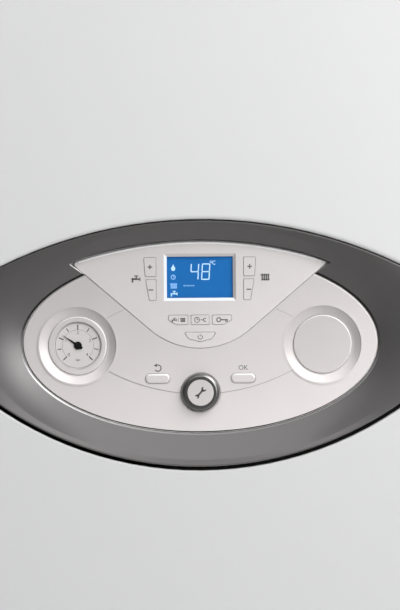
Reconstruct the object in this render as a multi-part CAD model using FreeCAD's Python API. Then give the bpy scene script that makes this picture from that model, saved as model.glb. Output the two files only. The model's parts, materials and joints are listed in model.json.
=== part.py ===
import FreeCAD, Part
import math
import os

os.makedirs("parts", exist_ok=True)

# Wall-hung gas boiler in millimetres. X runs to the right, the wall is at Y 0, the front faces -Y
# and the origin is on the wall, midway between the two holes of the hanging bracket.

# Case
case_w = 600.0
case_h = 900.0
case_d = 465.0
hang_h = 820.0  # hanging line above the bottom of the case
sheet = 1.2
frame_sheet = 1.5
lap = 0.4  # gap between lapped sheets
over = 1.0  # run of a cut past a face
rim_d = 46.0  # depth of the front casing's rim
fold_w = 14.0  # inward folds of a side panel
case_r = 12.0
tongue_w = 70.0  # tongues of the top and bottom plates that carry the casing
tongue_l = 32.0
tongue_x_share = 0.28
screw_r = 2.0
screw_head_r = 4.5
screw_head_h = 2.4
screw_slot_l = 14.0

# Eye-shaped opening and bezel, seen from the front: u to the right, v up from the fascia's centre
eye_up = 280.0  # centre of the fascia above the bottom of the case
eye_top = 123.0
eye_low = 124.0
eye_margin = 14.3  # from the side of the case to the point where the eye's arcs meet
eye_tip_v = 22.4
eye_tip_r = 25.0
gap_top = 1.0
gap_low = 3.8
hem_w = 5.0  # rolled edge of the opening
hem_d = 8.0
hem_r = 3.2  # depth of the roll
hem_top_w = 4.2  # width of the roll on the upper arc
hem_low_w = 1.2
hem_steps = 4
bezel_set = 2.5  # bezel behind the casing's front
bezel_d = 19.0
bezel_wall = 3.0
bezel_land = 1.6
bezel_edge_r = 1.3
bezel_rim_w = 2.5
dish_end = 13.0  # depth of the dish at its inner edge
dish_knee_d = 4.0  # ring where the dish turns steeper towards the fascia
dish_knee_u = 36.0
dish_knee_v = 27.0
ellipse_break = math.radians(9.0)
lip_w = 2.6  # inner edge of the dish past the fascia
lip_gap = 0.6
lip_drop = 1.4

# Fascia, shield and control box
fascia_a = 178.7
fascia_b = 90.0
fascia_d = 14.5
fascia_wall = 2.5
fascia_edge_r = 1.4
flange_w = 5.0
flange_in = 4.0
seat_d = 19.0  # plane where fascia and shield meet the control box
pad_rise = 0.6
pad_half_h = 50.0
pad_r = 195.0
pad_v = -1.0
pad_tip_r = 6.0
shield_top = 102.0
shield_top_r = 405.0
shield_low = 5.5
shield_low_r = 77.0
shield_lean = math.radians(40.6)
shield_d = 13.7
shield_wall = 2.4
shield_corner_r = 2.5
shield_edge_r = 0.9
shield_gap = 0.3
shield_lip = 1.6
shield_lip_d = 8.0
shield_flange = 4.0
box_d = 83.0
box_wall = 2.5
box_in_top = 14.0  # control box inside the eye's arcs at its mouth
box_in_low = 32.0
box_draft = 16.0
box_tip_r = 22.0
post_r = 4.0

# Display
window_w = 66.5
window_h = 41.6
window_v = 66.0
window_bevel = 3.0
window_bevel_d = 1.8
pane_over = 3.0  # clear pane past its opening
pane_t = 1.4
lcd_gap = 0.3
lcd_t = 2.6
lcd_leg = 5.0
board_d = 27.0
board_t = 1.6
board_half_w = 84.0
board_top = 88.0
board_low = 66.0
board_post_in = 8.0

# Keys
key_gap = 0.3
key_rise = 0.5
key_travel = 1.0
key_corner_r = 1.4
key_edge_r = 0.35
key_collar = 0.9
key_collar_t = 1.0
key_collar_gap = 0.3
key_stem_r = 1.6
switch_w = 5.0
switch_h = 3.0
step_key_in = 44.0
plus_out_top = 56.4
plus_out_low = 55.0
plus_low = 67.0
plus_top = 86.0
minus_out_top = 54.6
minus_out_low = 50.8
minus_low = 43.0
minus_top = 64.0
mode_low = 18.3
mode_top = 27.9
mode_half_w = 9.1
mode_in = 12.2
mode_out = 31.8
mode_cut_u = 24.0
mode_cut_v = 23.0
power_half_w = 16.3
power_top = 10.7
power_low = 1.1
power_cut_u = 11.5
power_cut_v = 4.0
pill_u = 43.0
pill_v = -35.8
pill_w = 25.0
pill_h = 10.0
pill_rise = 2.2
pill_edge_r = 2.0

# Rotary knob
knob_v = -50.0
knob_r = 19.0
knob_h = 7.0
knob_front_r = 3.5
knob_wall = 2.4
knob_floor = 3.2
knob_pocket_r = 20.2
knob_pocket_d = 1.3
knob_lift = 2.2
cap_r = 13.2
cap_t = 1.6
cap_gap = 0.15
shaft_r = 2.4
shaft_flat = 1.6
slip = 0.05  # running clearance on a radius
sleeve_wall = 1.0
bush_wall = 1.2
encoder_w = 18.0
encoder_h = 6.5
disc_r = 6.0
disc_t = 1.5
disc_room = 0.4

# Pressure gauge and blank disc
dial_u_share = 0.69  # of the fascia's half width
dial_v = -2.0
cup_r = 38.75
cup_in_r = 29.7
cup_drop = 4.0
cup_wall = 2.0
bead_w = 1.6
bead_h = 0.9
gauge_r = 29.3
gauge_set = 1.2  # gauge face behind the fascia
gauge_edge_r = 1.1
gauge_flange_r = 33.0
gauge_flange_t = 2.0
gauge_body_r = 20.0
gauge_body_l = 16.0
glass_r = 24.0
glass_t = 0.8
glass_set = 0.2
glass_gap = 0.15
ledge = 0.5
dial_t = 0.4
dial_room = 2.0
needle_tip = 18.6
needle_tail = 5.2
needle_w = 2.6
needle_t = 0.5
needle_lift = 0.6
hub_r = 4.0
hub_t = 0.65
spindle_r = 0.9
needle_angle = math.radians(145.5)

# Panel carrier and hinge
carrier_t = 6.0
carrier_side = 8.0  # carrier plate inside the case's sides
carrier_up = 12.0
carrier_down = 26.0
carrier_room_top = 2.5
carrier_room_low = 3.5
hinge_up = 6.0  # hinge line above the eye's lowest point
hinge_d = 7.2
hinge_in = 16.0
lug_w = 8.0
lug_gap = 0.4
knuckle_r = 2.0
ear_r = 2.6
pin_r = 1.2
arm_room = 0.35
panel_tilt = math.radians(40.0)

# Hanging bracket and rear frame
frame_back = 20.5  # rear sheet in front of the wall
bracket_w = 360.0
bracket_h = 70.0
bracket_t = 3.0
bolt_span = 280.0
bolt_r = 5.0
hook_x = 90.0
hook_w = 50.0
hook_up = 15.0
hook_out = 4.0
hook_slot_h = 22.0
hook_slot_room = 2.0
rib_w = 10.0
rib_d = 3.0
rib_x_shares = (0.3, 0.5, 0.7)
rib_low_share = 0.12
rib_high_share = 0.8

# Storage tanks and shelf
shelf_h = 430.0
shelf_t = 2.0
shelf_lip = 14.0
shelf_side = 8.0
shelf_front = 20.0
tank_r = 100.0
tank_l = 430.0
tank_wall = 1.6
tank_dome = 40.0
tank_skirt = 12.0
tank_side = 6.0
tank_back = 14.0
tank_gap = 4.0
tank_port_r = 11.0

# Expansion vessel
vessel_r = 150.0
vessel_t = 96.0
vessel_wall = 1.6
vessel_x = -110.0
vessel_h = 655.0
vessel_gap = 12.0
vessel_boss_r = 16.0
vessel_edge_r = 26.0
vessel_port_r = 9.0
vessel_port_l = 14.0

# Sealed chamber
chamber_back = 170.0
chamber_front = 35.0  # cover behind the casing's front
chamber_left = 4.0
chamber_right = 66.0
cover_t = 1.2
cover_rib = 20.0
cover_rib_d = 4.0
exch_x = -155.0
exch_h = 575.0
exch_r = 104.0
exch_l = 164.0
exch_wall = 4.0
exch_rib_r = 3.0
exch_rib_n = 5
spigot_r = 15.0
spigot_drop = 18.0
flow_x = -200.0
return_x = -110.0
drain_y = -300.0
drain_r = 11.0
burner_r = 34.0
burner_wall = 1.0
burner_l = 130.0
door_t = 16.0
door_nut_r = 6.0
door_nut_h = 7.0
door_nut_n = 6
door_bolt_r_share = 0.87
duct_r = 20.0
duct_wall = 2.0
duct_bend = 30.0

# Fan
fan_x = -190.0
fan_r = 70.0
fan_t = 58.0
fan_wall = 3.0
fan_gap = 65.0  # above the heat exchanger
fan_back = 250.0
fan_out_in = 20.0
fan_out_w = 46.0
fan_out_drop = 8.0
fan_inlet_r = 26.0
mixer_l = 62.0
mixer_r = 34.0
mixer_wall = 4.0
motor_r = 42.0
motor_l = 46.0
impeller_r = 58.0
impeller_gap = 6.0
impeller_plate = 2.0
impeller_w = 34.0
impeller_hub_r = 11.0
blade_n = 18
blade_in_share = 0.62
blade_t = 1.6
blade_lean = 28.0  # degrees
drive_r = 4.0

# Flue
flue_y = -230.0
flue_r = 30.0
flue_wall = 2.0
flue_bend = 36.0
flue_joint = 905.0  # foot of the webs that centre the flue in its collar
collar_r = 50.0
collar_wall = 2.0
collar_top = 965.0
collar_base = 65.0
collar_base_t = 2.0
web_t = 2.0
web_h = 12.0
web_n = 3
air_hole_r = 48.0

# Gas train
gas_y = -250.0
gas_r = 10.0
gas_wall = 1.0
gas_bend = 22.0
gas_jog_h = 95.0
valve_w = 76.0
valve_d = 74.0
valve_h = 84.0
coil_r = 17.0
coil_l = 30.0
coil_x_share = 0.24
thin_r = 6.0
thin_h = 575.0
thin_x = 34.0
thin_bend = 16.0

# Water group under the case
conn_y = -195.0
conn_step = 70.0
stub_big_r = 13.2
stub_small_r = 10.5
stub_bore_share = 0.72
stub_low = -48.0
stub_high = 45.0
stub_collar_t = 7.0
nut_t = 13.0
hole_gap = 1.5
base_h = 1.6  # underside of the bottom plate above the bottom of the case
group_half_w = 27.0
group_front = 230.0
group_back = 72.0
group_top = 170.0
plate_half_w = 112.7
plate_back = 90.0
plate_t = 60.0
plate_low = 85.0
plate_h = 75.0
plate_n = 12
plate_groove = 1.5
plate_groove_d = 2.0
divert_r = 22.0
divert_l = 46.0
divert_h = 112.0
relief_h = 100.0
relief_r = 14.0
relief_l = 26.0
relief_out_r = 8.0
relief_out_low = -26.0
relief_stem_r = 5.0
relief_stem_l = 14.0
relief_knob_r = 17.0
relief_knob_l = 22.0
relief_knob_gap = 2.0
grip_n = 8
grip_r = 3.0
pump_h = 230.0
pump_r = 46.0
pump_back = 170.0
pump_t = 50.0
pump_room_r = 34.0
pump_room_l = 26.0
pump_motor_r = 44.0
pump_motor_l = 92.0
pump_box_w = 60.0
pump_box_h = 26.0
pump_out_l = 16.0
pump_disc_r = 30.0
pump_disc_t = 2.0
pump_vane_w = 9.0
pump_vane_n = 7
pump_disc_gap = 5.0
heat_r = 11.0
tap_r = 8.0
pipe_wall = 1.0
heat_bend = 24.0
tap_bend = 18.0
return_run_h = 365.0
flow_jog_h = 300.0
tap_low_h = 64.0
cold_y = -52.0
cold_run_h = 395.0
vessel_run_h = 300.0
vessel_pipe_r = 6.0

# Condensate trap and cable gland
trap_x = -240.0
trap_r = 28.0
trap_low = 150.0
trap_top = 270.0
trap_wall = 2.5
trap_cap_r = 31.0
trap_cap_t = 12.0
trap_out_r = 12.0
trap_out_low = -30.0
ring_w = 4.0  # rings under the bottom plate round the drain spouts
ring_t = 4.0
hose_r = 8.0
hose_wall = 1.5
hose_run_h = 350.0
gland_in = 65.0  # cable gland inside the case's right side
gland_y = -120.0
gland_r = 11.0
gland_l = 24.0
gland_bore_r = 4.5
gland_nut_r = 15.0
gland_nut_t = 6.0

front = -case_d
bottom = -hang_h
eye_z = eye_up - hang_h
half_w = case_w / 2
carrier_half_w = half_w - carrier_side
wall_in = half_w - sheet
side_y = front + rim_d  # front of the side panels
frame_front = -frame_back - frame_sheet
dial_u = dial_u_share * fascia_a
pane_d = shield_d + shield_wall
lcd_d = pane_d + pane_t + lcd_gap
switch_d = board_d - switch_h
hinge_v = hinge_up - eye_low
cup_back = fascia_d + cup_drop + cup_wall
gauge_d = fascia_d + gauge_set
glass_seat = gauge_d + glass_set + glass_t
dial_floor = glass_seat + dial_room
needle_d = dial_floor - dial_t - needle_lift
knob_base = fascia_d + knob_pocket_d - knob_lift
knob_d = knob_base - knob_h
bush_d = fascia_d + knob_pocket_d
encoder_d = board_d - encoder_h
plate_z = case_h - sheet - lap - frame_sheet  # underside of the top plate
base_top = base_h + frame_sheet
chamber_x0 = -half_w + fold_w + chamber_left
chamber_y0 = front + chamber_front
chamber_in = -chamber_back - sheet  # inside of the chamber's rear wall
floor_in = shelf_h + sheet
exch_front = chamber_in - exch_l
exch_low = exch_h - exch_r - spigot_drop
fan_h = exch_h + exch_r + fan_gap + fan_r
fan_front = -fan_back - fan_t
fan_out_x = fan_x + fan_out_in + fan_out_w / 2
fan_out_low = fan_h - fan_r - fan_out_drop
mixer_y = fan_front - mixer_l / 2
tank_x = half_w - fold_w - tank_side - tank_r
tank_y1 = frame_front - tank_back - tank_r
tank_y2 = tank_y1 - tank_gap - tank_r - tank_r
shelf_top = shelf_h + shelf_t
vessel_back = frame_front - vessel_gap
valve_low = floor_in
valve_top = valve_low + valve_h
conn_x = [conn_step * k for k in (-2, -1, 0, 1, 2)]
pump_x = conn_x[4]
gland_x = half_w - gland_in
pump_front = -pump_back - pump_t


def up(h):
    return h + bottom


def at(u, v, d):
    return FreeCAD.Vector(u, front + d, eye_z + v)


def vec(x, y, h):
    return FreeCAD.Vector(x, y, up(h))


def block(x0, x1, y0, y1, h0, h1):
    return Part.makeBox(x1 - x0, y1 - y0, h1 - h0, vec(x0, y0, h0))


def rod(r, a, b):
    return Part.makeCylinder(r, b.sub(a).Length, a, b.sub(a))


def upright(r, x, y, h0, h1):
    return rod(r, vec(x, y, h0), vec(x, y, h1))


def level(r, x, h, y0, y1):
    return rod(r, vec(x, y0, h), vec(x, y1, h))


def peg(r, u, v, d0, d1):
    return rod(r, at(u, v, d0), at(u, v, d1))


def tube(r, bore, a, b):
    return rod(r, a, b).cut(rod(bore, a, b))


def cone(r0, r1, a, b):
    return Part.makeCone(r0, r1, b.sub(a).Length, a, b.sub(a))


def joined(shapes):
    first = shapes[0]
    return first.fuse(shapes[1:]).removeSplitter()


def prism(wire, d0, d1):
    return Part.Face(wire).extrude(FreeCAD.Vector(0, d1 - d0, 0))


def edges_along_y(shape):
    found = []
    for edge in shape.Edges:
        box = edge.BoundBox
        if box.XLength < slip and box.ZLength < slip and box.YLength > slip:
            found.append(edge)
    return found


def edges_at_depth(shape, d):
    y = front + d
    return [e for e in shape.Edges if abs(e.BoundBox.YMin - y) < slip and e.BoundBox.YLength < slip]


def lens_wire(top, top_r, low, low_r, tip, d):
    # two arcs with their highest point at v = top and lowest at v = -low, and round tips
    c1 = top - top_r
    c2 = low_r - low
    a = top_r - tip
    b = low_r - tip
    fv = (a * a - b * b + c2 * c2 - c1 * c1) / (2 * (c2 - c1))
    fu = math.sqrt(a * a - (fv - c1) ** 2)
    p1 = (fu * top_r / a, c1 + (fv - c1) * top_r / a)
    p2 = (fu * low_r / b, c2 + (fv - c2) * low_r / b)
    m = (p1[0] + p2[0] - 2 * fu, p1[1] + p2[1] - 2 * fv)
    k = tip / math.hypot(m[0], m[1])
    tip_p = (fu + m[0] * k, fv + m[1] * k)
    right = Part.Arc(at(p2[0], p2[1], d), at(tip_p[0], tip_p[1], d), at(p1[0], p1[1], d))
    over_top = Part.Arc(at(p1[0], p1[1], d), at(0, top, d), at(-p1[0], p1[1], d))
    left = Part.Arc(at(-p1[0], p1[1], d), at(-tip_p[0], tip_p[1], d), at(-p2[0], p2[1], d))
    under = Part.Arc(at(-p2[0], p2[1], d), at(0, -low, d), at(p2[0], p2[1], d))
    return Part.Wire([arc.toShape() for arc in (right, over_top, left, under)])


def eye_wire(grow_top, grow_low, tip, d):
    # the eye's arcs meet at the tips, and grown copies keep the arcs' centres
    reach = half_w - eye_margin
    rise = eye_top - eye_tip_v
    fall = eye_low + eye_tip_v
    top_r = (reach * reach + rise * rise) / (2 * rise)
    low_r = (reach * reach + fall * fall) / (2 * fall)
    return lens_wire(eye_top + grow_top, top_r + grow_top, eye_low + grow_low, low_r + grow_low, tip, d)


def ellipse_wire(grow_u, grow_v, d):
    curve = Part.Ellipse(at(fascia_a + grow_u, 0, d), at(0, fascia_b + grow_v, d), at(0, 0, d))
    turns = (-ellipse_break, ellipse_break, math.pi - ellipse_break, math.pi + ellipse_break)
    ends = turns[1:] + (2 * math.pi - ellipse_break,)
    return Part.Wire([Part.ArcOfEllipse(curve, t0, t1).toShape() for t0, t1 in zip(turns, ends)])


def ellipse_prism(grow, d0, d1):
    curve = Part.Ellipse(at(fascia_a + grow, 0, d0), at(0, fascia_b + grow, d0), at(0, 0, d0))
    return prism(Part.Wire([curve.toShape()]), d0, d1)


def shield_wire(grow, d):
    run = (math.cos(shield_lean), math.sin(shield_lean))
    r = shield_low_r + grow
    low_c = shield_low_r - shield_low
    side = (r * run[1], low_c - r * run[0])
    top_r = shield_top_r + grow
    top_c = shield_top - shield_top_r
    lift = side[1] - top_c
    b = side[0] * run[0] + lift * run[1]
    s = -b + math.sqrt(b * b - side[0] ** 2 - lift ** 2 + top_r ** 2)
    corner = (side[0] + s * run[0], side[1] + s * run[1])
    right = Part.LineSegment(at(side[0], side[1], d), at(corner[0], corner[1], d))
    over_top = Part.Arc(at(corner[0], corner[1], d), at(0, top_c + top_r, d), at(-corner[0], corner[1], d))
    left = Part.LineSegment(at(-corner[0], corner[1], d), at(-side[0], side[1], d))
    under = Part.Arc(at(-side[0], side[1], d), at(0, low_c - r, d), at(side[0], side[1], d))
    return Part.Wire([part.toShape() for part in (right, over_top, left, under)])


def shield_prism(grow, d0, d1):
    plain = prism(shield_wire(grow, d0), d0, d1)
    corners = [e for e in edges_along_y(plain) if e.BoundBox.ZMin > eye_z + shield_top / 2]
    return plain.makeFillet(shield_corner_r + max(grow, 0), corners)


def polygon_prism(points, d0, d1, corner):
    loop = [at(u, v, d0) for u, v in points]
    plain = prism(Part.makePolygon(loop + loop[:1]), d0, d1)
    return plain.makeFillet(corner, edges_along_y(plain))


def pill_prism(u, v, w, h, d0, d1):
    r = h / 2
    side = w / 2 - r
    bar = Part.makeBox(2 * side, d1 - d0, h, at(u - side, v - r, d0))
    ends = [peg(r, u + s * side, v, d0, d1) for s in (-1, 1)]
    return joined([bar] + ends)


def path(points, bend):
    edges = []
    last = points[0]
    for i in range(1, len(points) - 1):
        corner = points[i]
        back = points[i - 1].sub(corner).normalize()
        ahead = points[i + 1].sub(corner).normalize()
        half = back.getAngle(ahead) / 2
        reach = bend / math.tan(half)
        inward = back.add(ahead).normalize()
        start = corner.add(FreeCAD.Vector(back).multiply(reach))
        end = corner.add(FreeCAD.Vector(ahead).multiply(reach))
        middle = corner.add(inward.multiply(bend / math.sin(half) - bend))
        edges.append(Part.LineSegment(last, start).toShape())
        edges.append(Part.Arc(start, middle, end).toShape())
        last = end
    edges.append(Part.LineSegment(last, points[-1]).toShape())
    return Part.Wire(edges)


def bent_rod(points, r, bend):
    wire = path(points, bend)
    ring = Part.Circle(points[0], points[1].sub(points[0]), r).toShape()
    return wire.makePipeShell([Part.Wire([ring])], True, False)


def bent_pipe(points, r, wall, bend):
    return bent_rod(points, r, bend).cut(bent_rod(points, r - wall, bend))


def hexagon(r, x, y, h0, h1):
    loop = [vec(x + r * math.cos(k * math.pi / 3), y + r * math.sin(k * math.pi / 3), h0) for k in range(7)]
    return Part.Face(Part.makePolygon(loop)).extrude(FreeCAD.Vector(0, 0, h1 - h0))


def rounded_pan(inset):
    low = inset
    high = case_h - inset
    back = rim_d - lap if inset == 0 else rim_d + over
    pan = block(-half_w + inset, half_w - inset, front + inset, front + back, low, high)
    edges = edges_along_y(pan) + edges_at_depth(pan, inset)
    return pan.makeFillet(case_r - inset, edges)


def tongue_centres():
    return [s * tongue_x_share * case_w for s in (-1, 1)]


def hem_roll():
    # room in front of the hem's rolled edge, wide on the upper arc and narrow on the lower one
    wires = []
    for k in range(hem_steps + 1):
        turn = math.pi / 2 * k / hem_steps
        left = 1 - math.sin(turn)
        top = hem_top_w * left
        low = hem_low_w * left
        tip = eye_tip_r + (top + low) / 2
        wires.append(eye_wire(gap_top + top, gap_low + low, tip, hem_r * (1 - math.cos(turn))))
    return Part.makeLoft(wires, True, True)


def front_casing():
    pan = rounded_pan(0).cut(rounded_pan(sheet))
    hem = prism(eye_wire(gap_top + hem_w, gap_low + hem_w, eye_tip_r + hem_w, 0), 0, hem_d)
    opening = prism(eye_wire(gap_top, gap_low, eye_tip_r, -over), -over, hem_d + over)
    body = pan.fuse(hem).cut([opening, hem_roll()])
    for x in tongue_centres():
        y = front + rim_d - screw_slot_l / 2
        body = body.cut(upright(screw_r + slip, x, y, -over, sheet + over))
    return body.removeSplitter()


def casing_screws():
    screws = []
    for x in tongue_centres():
        y = front + rim_d - screw_slot_l / 2
        head = upright(screw_head_r, x, y, -screw_head_h, 0)
        shank = upright(screw_r, x, y, 0, base_top + over)
        screws.append(head.fuse(shank))
    return Part.Compound(screws)


def side_panel(side):
    x0 = half_w - fold_w
    outer = block(x0, half_w, side_y, 0, 0, case_h)
    inner = block(x0 - over, wall_in, side_y + sheet, -sheet, sheet, case_h - sheet)
    panel = outer.cut(inner)
    if side > 0:
        return panel
    return panel.mirror(FreeCAD.Vector(0, 0, 0), FreeCAD.Vector(1, 0, 0))


def level_plate(h, fold):
    # flat sheet with folded sides and tongues that reach under the casing's rim
    w = wall_in - lap
    plate = block(-w, w, side_y + sheet + lap, frame_front - lap, h, h + frame_sheet)
    parts = [plate]
    for s in (-1, 1):
        edge = s * (w - frame_sheet / 2)
        x0 = edge - frame_sheet / 2
        low = min(h, h + fold)
        high = max(h + frame_sheet, h + fold)
        parts.append(block(x0, x0 + frame_sheet, side_y + sheet + lap, frame_front - lap, low, high))
    for x in tongue_centres():
        ends = (x - tongue_w / 2, x + tongue_w / 2)
        parts.append(block(ends[0], ends[1], side_y - tongue_l, side_y + sheet + lap, h, h + frame_sheet))
    return joined(parts)


def top_plate():
    plate = level_plate(plate_z, -fold_w)
    hole = upright(air_hole_r, 0, flue_y, plate_z - over, plate_z + frame_sheet + over)
    return plate.cut(hole)


def bottom_plate():
    plate = level_plate(base_h, fold_w)
    holes = []
    for x, r in zip(conn_x, stub_radii()):
        holes.append(upright(r + hole_gap, x, conn_y, 0, base_top + over))
    out_y = relief_out_y()
    holes.append(upright(relief_out_r + hole_gap, pump_x, out_y, 0, base_top + over))
    holes.append(upright(trap_out_r + hole_gap, trap_x, drain_y, 0, base_top + over))
    holes.append(upright(gland_r + slip, gland_x, gland_y, 0, base_top + over))
    for x in tongue_centres():
        r = screw_r + lap
        y = front + rim_d - screw_slot_l / 2
        holes.append(upright(r, x, y, 0, base_top + over))
        holes.append(block(x - r, x + r, side_y - tongue_l - over, y, 0, base_top + over))
    return plate.cut(holes)


def wall_bracket():
    half = bracket_w / 2
    top = hang_h + bracket_h / 2
    parts = [block(-half, half, -bracket_t, 0, hang_h - bracket_h / 2, top)]
    reach = -frame_back - frame_sheet - lap - hook_out
    for s in (-1, 1):
        x0 = s * hook_x - hook_w / 2
        parts.append(block(x0, x0 + hook_w, reach, 0, top - bracket_t, top))
        parts.append(block(x0, x0 + hook_w, reach, reach + bracket_t, top - bracket_t, top + hook_up))
    bracket = joined(parts)
    for s in (-1, 1):
        x = s * bolt_span / 2
        bracket = bracket.cut(level(bolt_r, x, hang_h, over, -bracket_t - over))
    return bracket


def rear_frame():
    w = wall_in - lap
    low = sheet + lap
    high = case_h - sheet - lap
    outer = block(-w, w, frame_front, -sheet - lap, low, high)
    inner = block(-w + frame_sheet, w - frame_sheet, -frame_back, 0, low + frame_sheet, high - frame_sheet)
    frame = outer.cut(inner)
    top = hang_h + bracket_h / 2
    for s in (-1, 1):
        x0 = s * hook_x - hook_w / 2 - hook_slot_room
        x1 = x0 + hook_w + 2 * hook_slot_room
        frame = frame.cut(block(x0, x1, frame_front - over, -frame_back + over, top - hook_slot_h, top))
    ribs = []
    for share in rib_x_shares:
        x = -half_w + share * case_w
        low_h = rib_low_share * case_h
        high_h = rib_high_share * case_h
        ribs.append(block(x - rib_w / 2, x + rib_w / 2, -frame_back, -frame_back + rib_d, low_h, high_h))
    return joined([frame] + ribs)


def tank_shelf():
    x0 = tank_x - tank_r - shelf_side
    x1 = tank_x + tank_r
    y0 = front + shelf_front
    parts = [block(x0, x1, y0, frame_front, shelf_h, shelf_top)]
    parts.append(block(x0, x1, y0, y0 + shelf_t, shelf_h - shelf_lip, shelf_top))
    parts.append(block(x0, x0 + shelf_t, y0, frame_front, shelf_h - shelf_lip, shelf_top))
    shelf = joined(parts)
    for y in (tank_y1, tank_y2):
        shelf = shelf.cut(upright(tank_port_r + over, tank_x, y, shelf_h - over, shelf_top + over))
    return shelf


def tank_shell(y, inset):
    low = shelf_top + tank_skirt + inset
    high = shelf_top + tank_l - inset
    r = tank_r - inset
    body = upright(r, tank_x, y, low, high)
    rims = [e for e in body.Edges if e.BoundBox.ZLength < slip]
    return body.makeFillet(tank_dome - inset, rims)


def storage_tanks():
    tanks = []
    for y in (tank_y1, tank_y2):
        skirt_low = vec(tank_x, y, shelf_top)
        skirt_high = vec(tank_x, y, shelf_top + tank_skirt + tank_wall)
        skirt = tube(tank_r - tank_dome, tank_r - tank_dome - tank_wall, skirt_low, skirt_high)
        port = tube(tank_port_r, tap_r, vec(tank_x, y, shelf_h), skirt_high)
        tanks.append(joined([tank_shell(y, 0), skirt, port]).cut(tank_shell(y, tank_wall)))
    return Part.Compound(tanks)


def vessel_shell(inset):
    back = vec(vessel_x, vessel_back - inset, vessel_h)
    face = vec(vessel_x, vessel_back - vessel_t + inset, vessel_h)
    body = rod(vessel_r - inset, back, face)
    rims = [e for e in body.Edges if e.BoundBox.YLength < slip]
    return body.makeFillet(vessel_edge_r - inset, rims)


def vessel_port():
    return vec(vessel_x, vessel_back - vessel_t / 2, vessel_h - vessel_r - vessel_port_l)


def expansion_vessel():
    boss = level(vessel_boss_r, vessel_x, vessel_h, frame_front, vessel_back - over)
    port_top = vessel_port().add(FreeCAD.Vector(0, 0, vessel_port_l + vessel_wall))
    port = rod(vessel_port_r, vessel_port(), port_top)
    return joined([vessel_shell(0), boss, port]).cut(vessel_shell(vessel_wall))


def chamber_box():
    outer = block(chamber_x0, chamber_right, chamber_y0, -chamber_back, shelf_h, plate_z)
    right = chamber_right - sheet
    inner = block(chamber_x0 + sheet, right, chamber_y0 - over, chamber_in, floor_in, plate_z - sheet)
    box = outer.cut(inner)
    spots = [(flow_x, conn_y, heat_r), (return_x, conn_y, heat_r)]
    spots += [(exch_x, drain_y, hose_r), (0, gas_y, gas_r)]
    for x, y, r in spots:
        box = box.cut(upright(r + hole_gap, x, y, shelf_h - over, floor_in + over))
    return box.cut(upright(air_hole_r, 0, flue_y, plate_z - sheet - over, plate_z + over))


def chamber_cover():
    back = chamber_y0
    cover = block(chamber_x0, chamber_right, back - cover_t, back, shelf_h, plate_z)
    x0 = chamber_x0 + cover_rib
    x1 = chamber_right - cover_rib
    rise = block(x0, x1, back - cover_t - cover_rib_d, back, shelf_h + cover_rib, plate_z - cover_rib)
    dip = block(x0 + cover_t, x1 - cover_t, back - cover_rib_d, back + over, shelf_h + cover_rib + cover_t,
                plate_z - cover_rib - cover_t)
    return joined([cover, rise]).cut(dip)


def heat_exchanger():
    back = vec(exch_x, chamber_in, exch_h)
    face = vec(exch_x, exch_front, exch_h)
    parts = [rod(exch_r, back, face)]
    for k in range(exch_rib_n):
        y = chamber_in - exch_l * (k + 1) / (exch_rib_n + 1)
        a = vec(exch_x, y - exch_rib_r / 2, exch_h)
        b = vec(exch_x, y + exch_rib_r / 2, exch_h)
        parts.append(rod(exch_r + exch_rib_r, a, b))
    for x in (flow_x, return_x):
        parts.append(upright(spigot_r, x, conn_y, exch_low, exch_h - exch_r / 2))
    parts.append(upright(drain_r, exch_x, drain_y, exch_low, exch_h - exch_r / 2))
    out_x = exch_x + exch_r + exch_rib_r + over
    parts.append(rod(flue_r + flue_wall, vec(exch_x, flue_y, exch_h), vec(out_x, flue_y, exch_h)))
    inner_back = vec(exch_x, chamber_in - exch_wall, exch_h)
    return joined(parts).cut(rod(exch_r - exch_wall, inner_back, vec(exch_x, exch_front - over, exch_h)))


def flue_duct():
    start = exch_x + exch_r + exch_rib_r + over
    run = [vec(start, flue_y, exch_h), vec(0, flue_y, exch_h), vec(0, flue_y, collar_top)]
    parts = [bent_pipe(run, flue_r + flue_wall, flue_wall, flue_bend)]
    for k in range(web_n):
        x0 = flue_r + flue_wall / 2
        x1 = collar_r - lap
        y0 = flue_y - web_t / 2
        web = block(x0, x1, y0, y0 + web_t, flue_joint, flue_joint + web_h)
        web.rotate(vec(0, flue_y, 0), FreeCAD.Vector(0, 0, 1), 360 * k / web_n)
        parts.append(web)
    return joined(parts)


def flue_collar():
    base_low = plate_z + frame_sheet
    base = block(-collar_base, collar_base, flue_y - collar_base, flue_y + collar_base, base_low,
                 base_low + collar_base_t)
    outer = tube(collar_r + collar_wall, collar_r, vec(0, flue_y, base_low), vec(0, flue_y, collar_top))
    base = base.cut(upright(collar_r, 0, flue_y, base_low - over, collar_top))
    return joined([base, outer])


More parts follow.
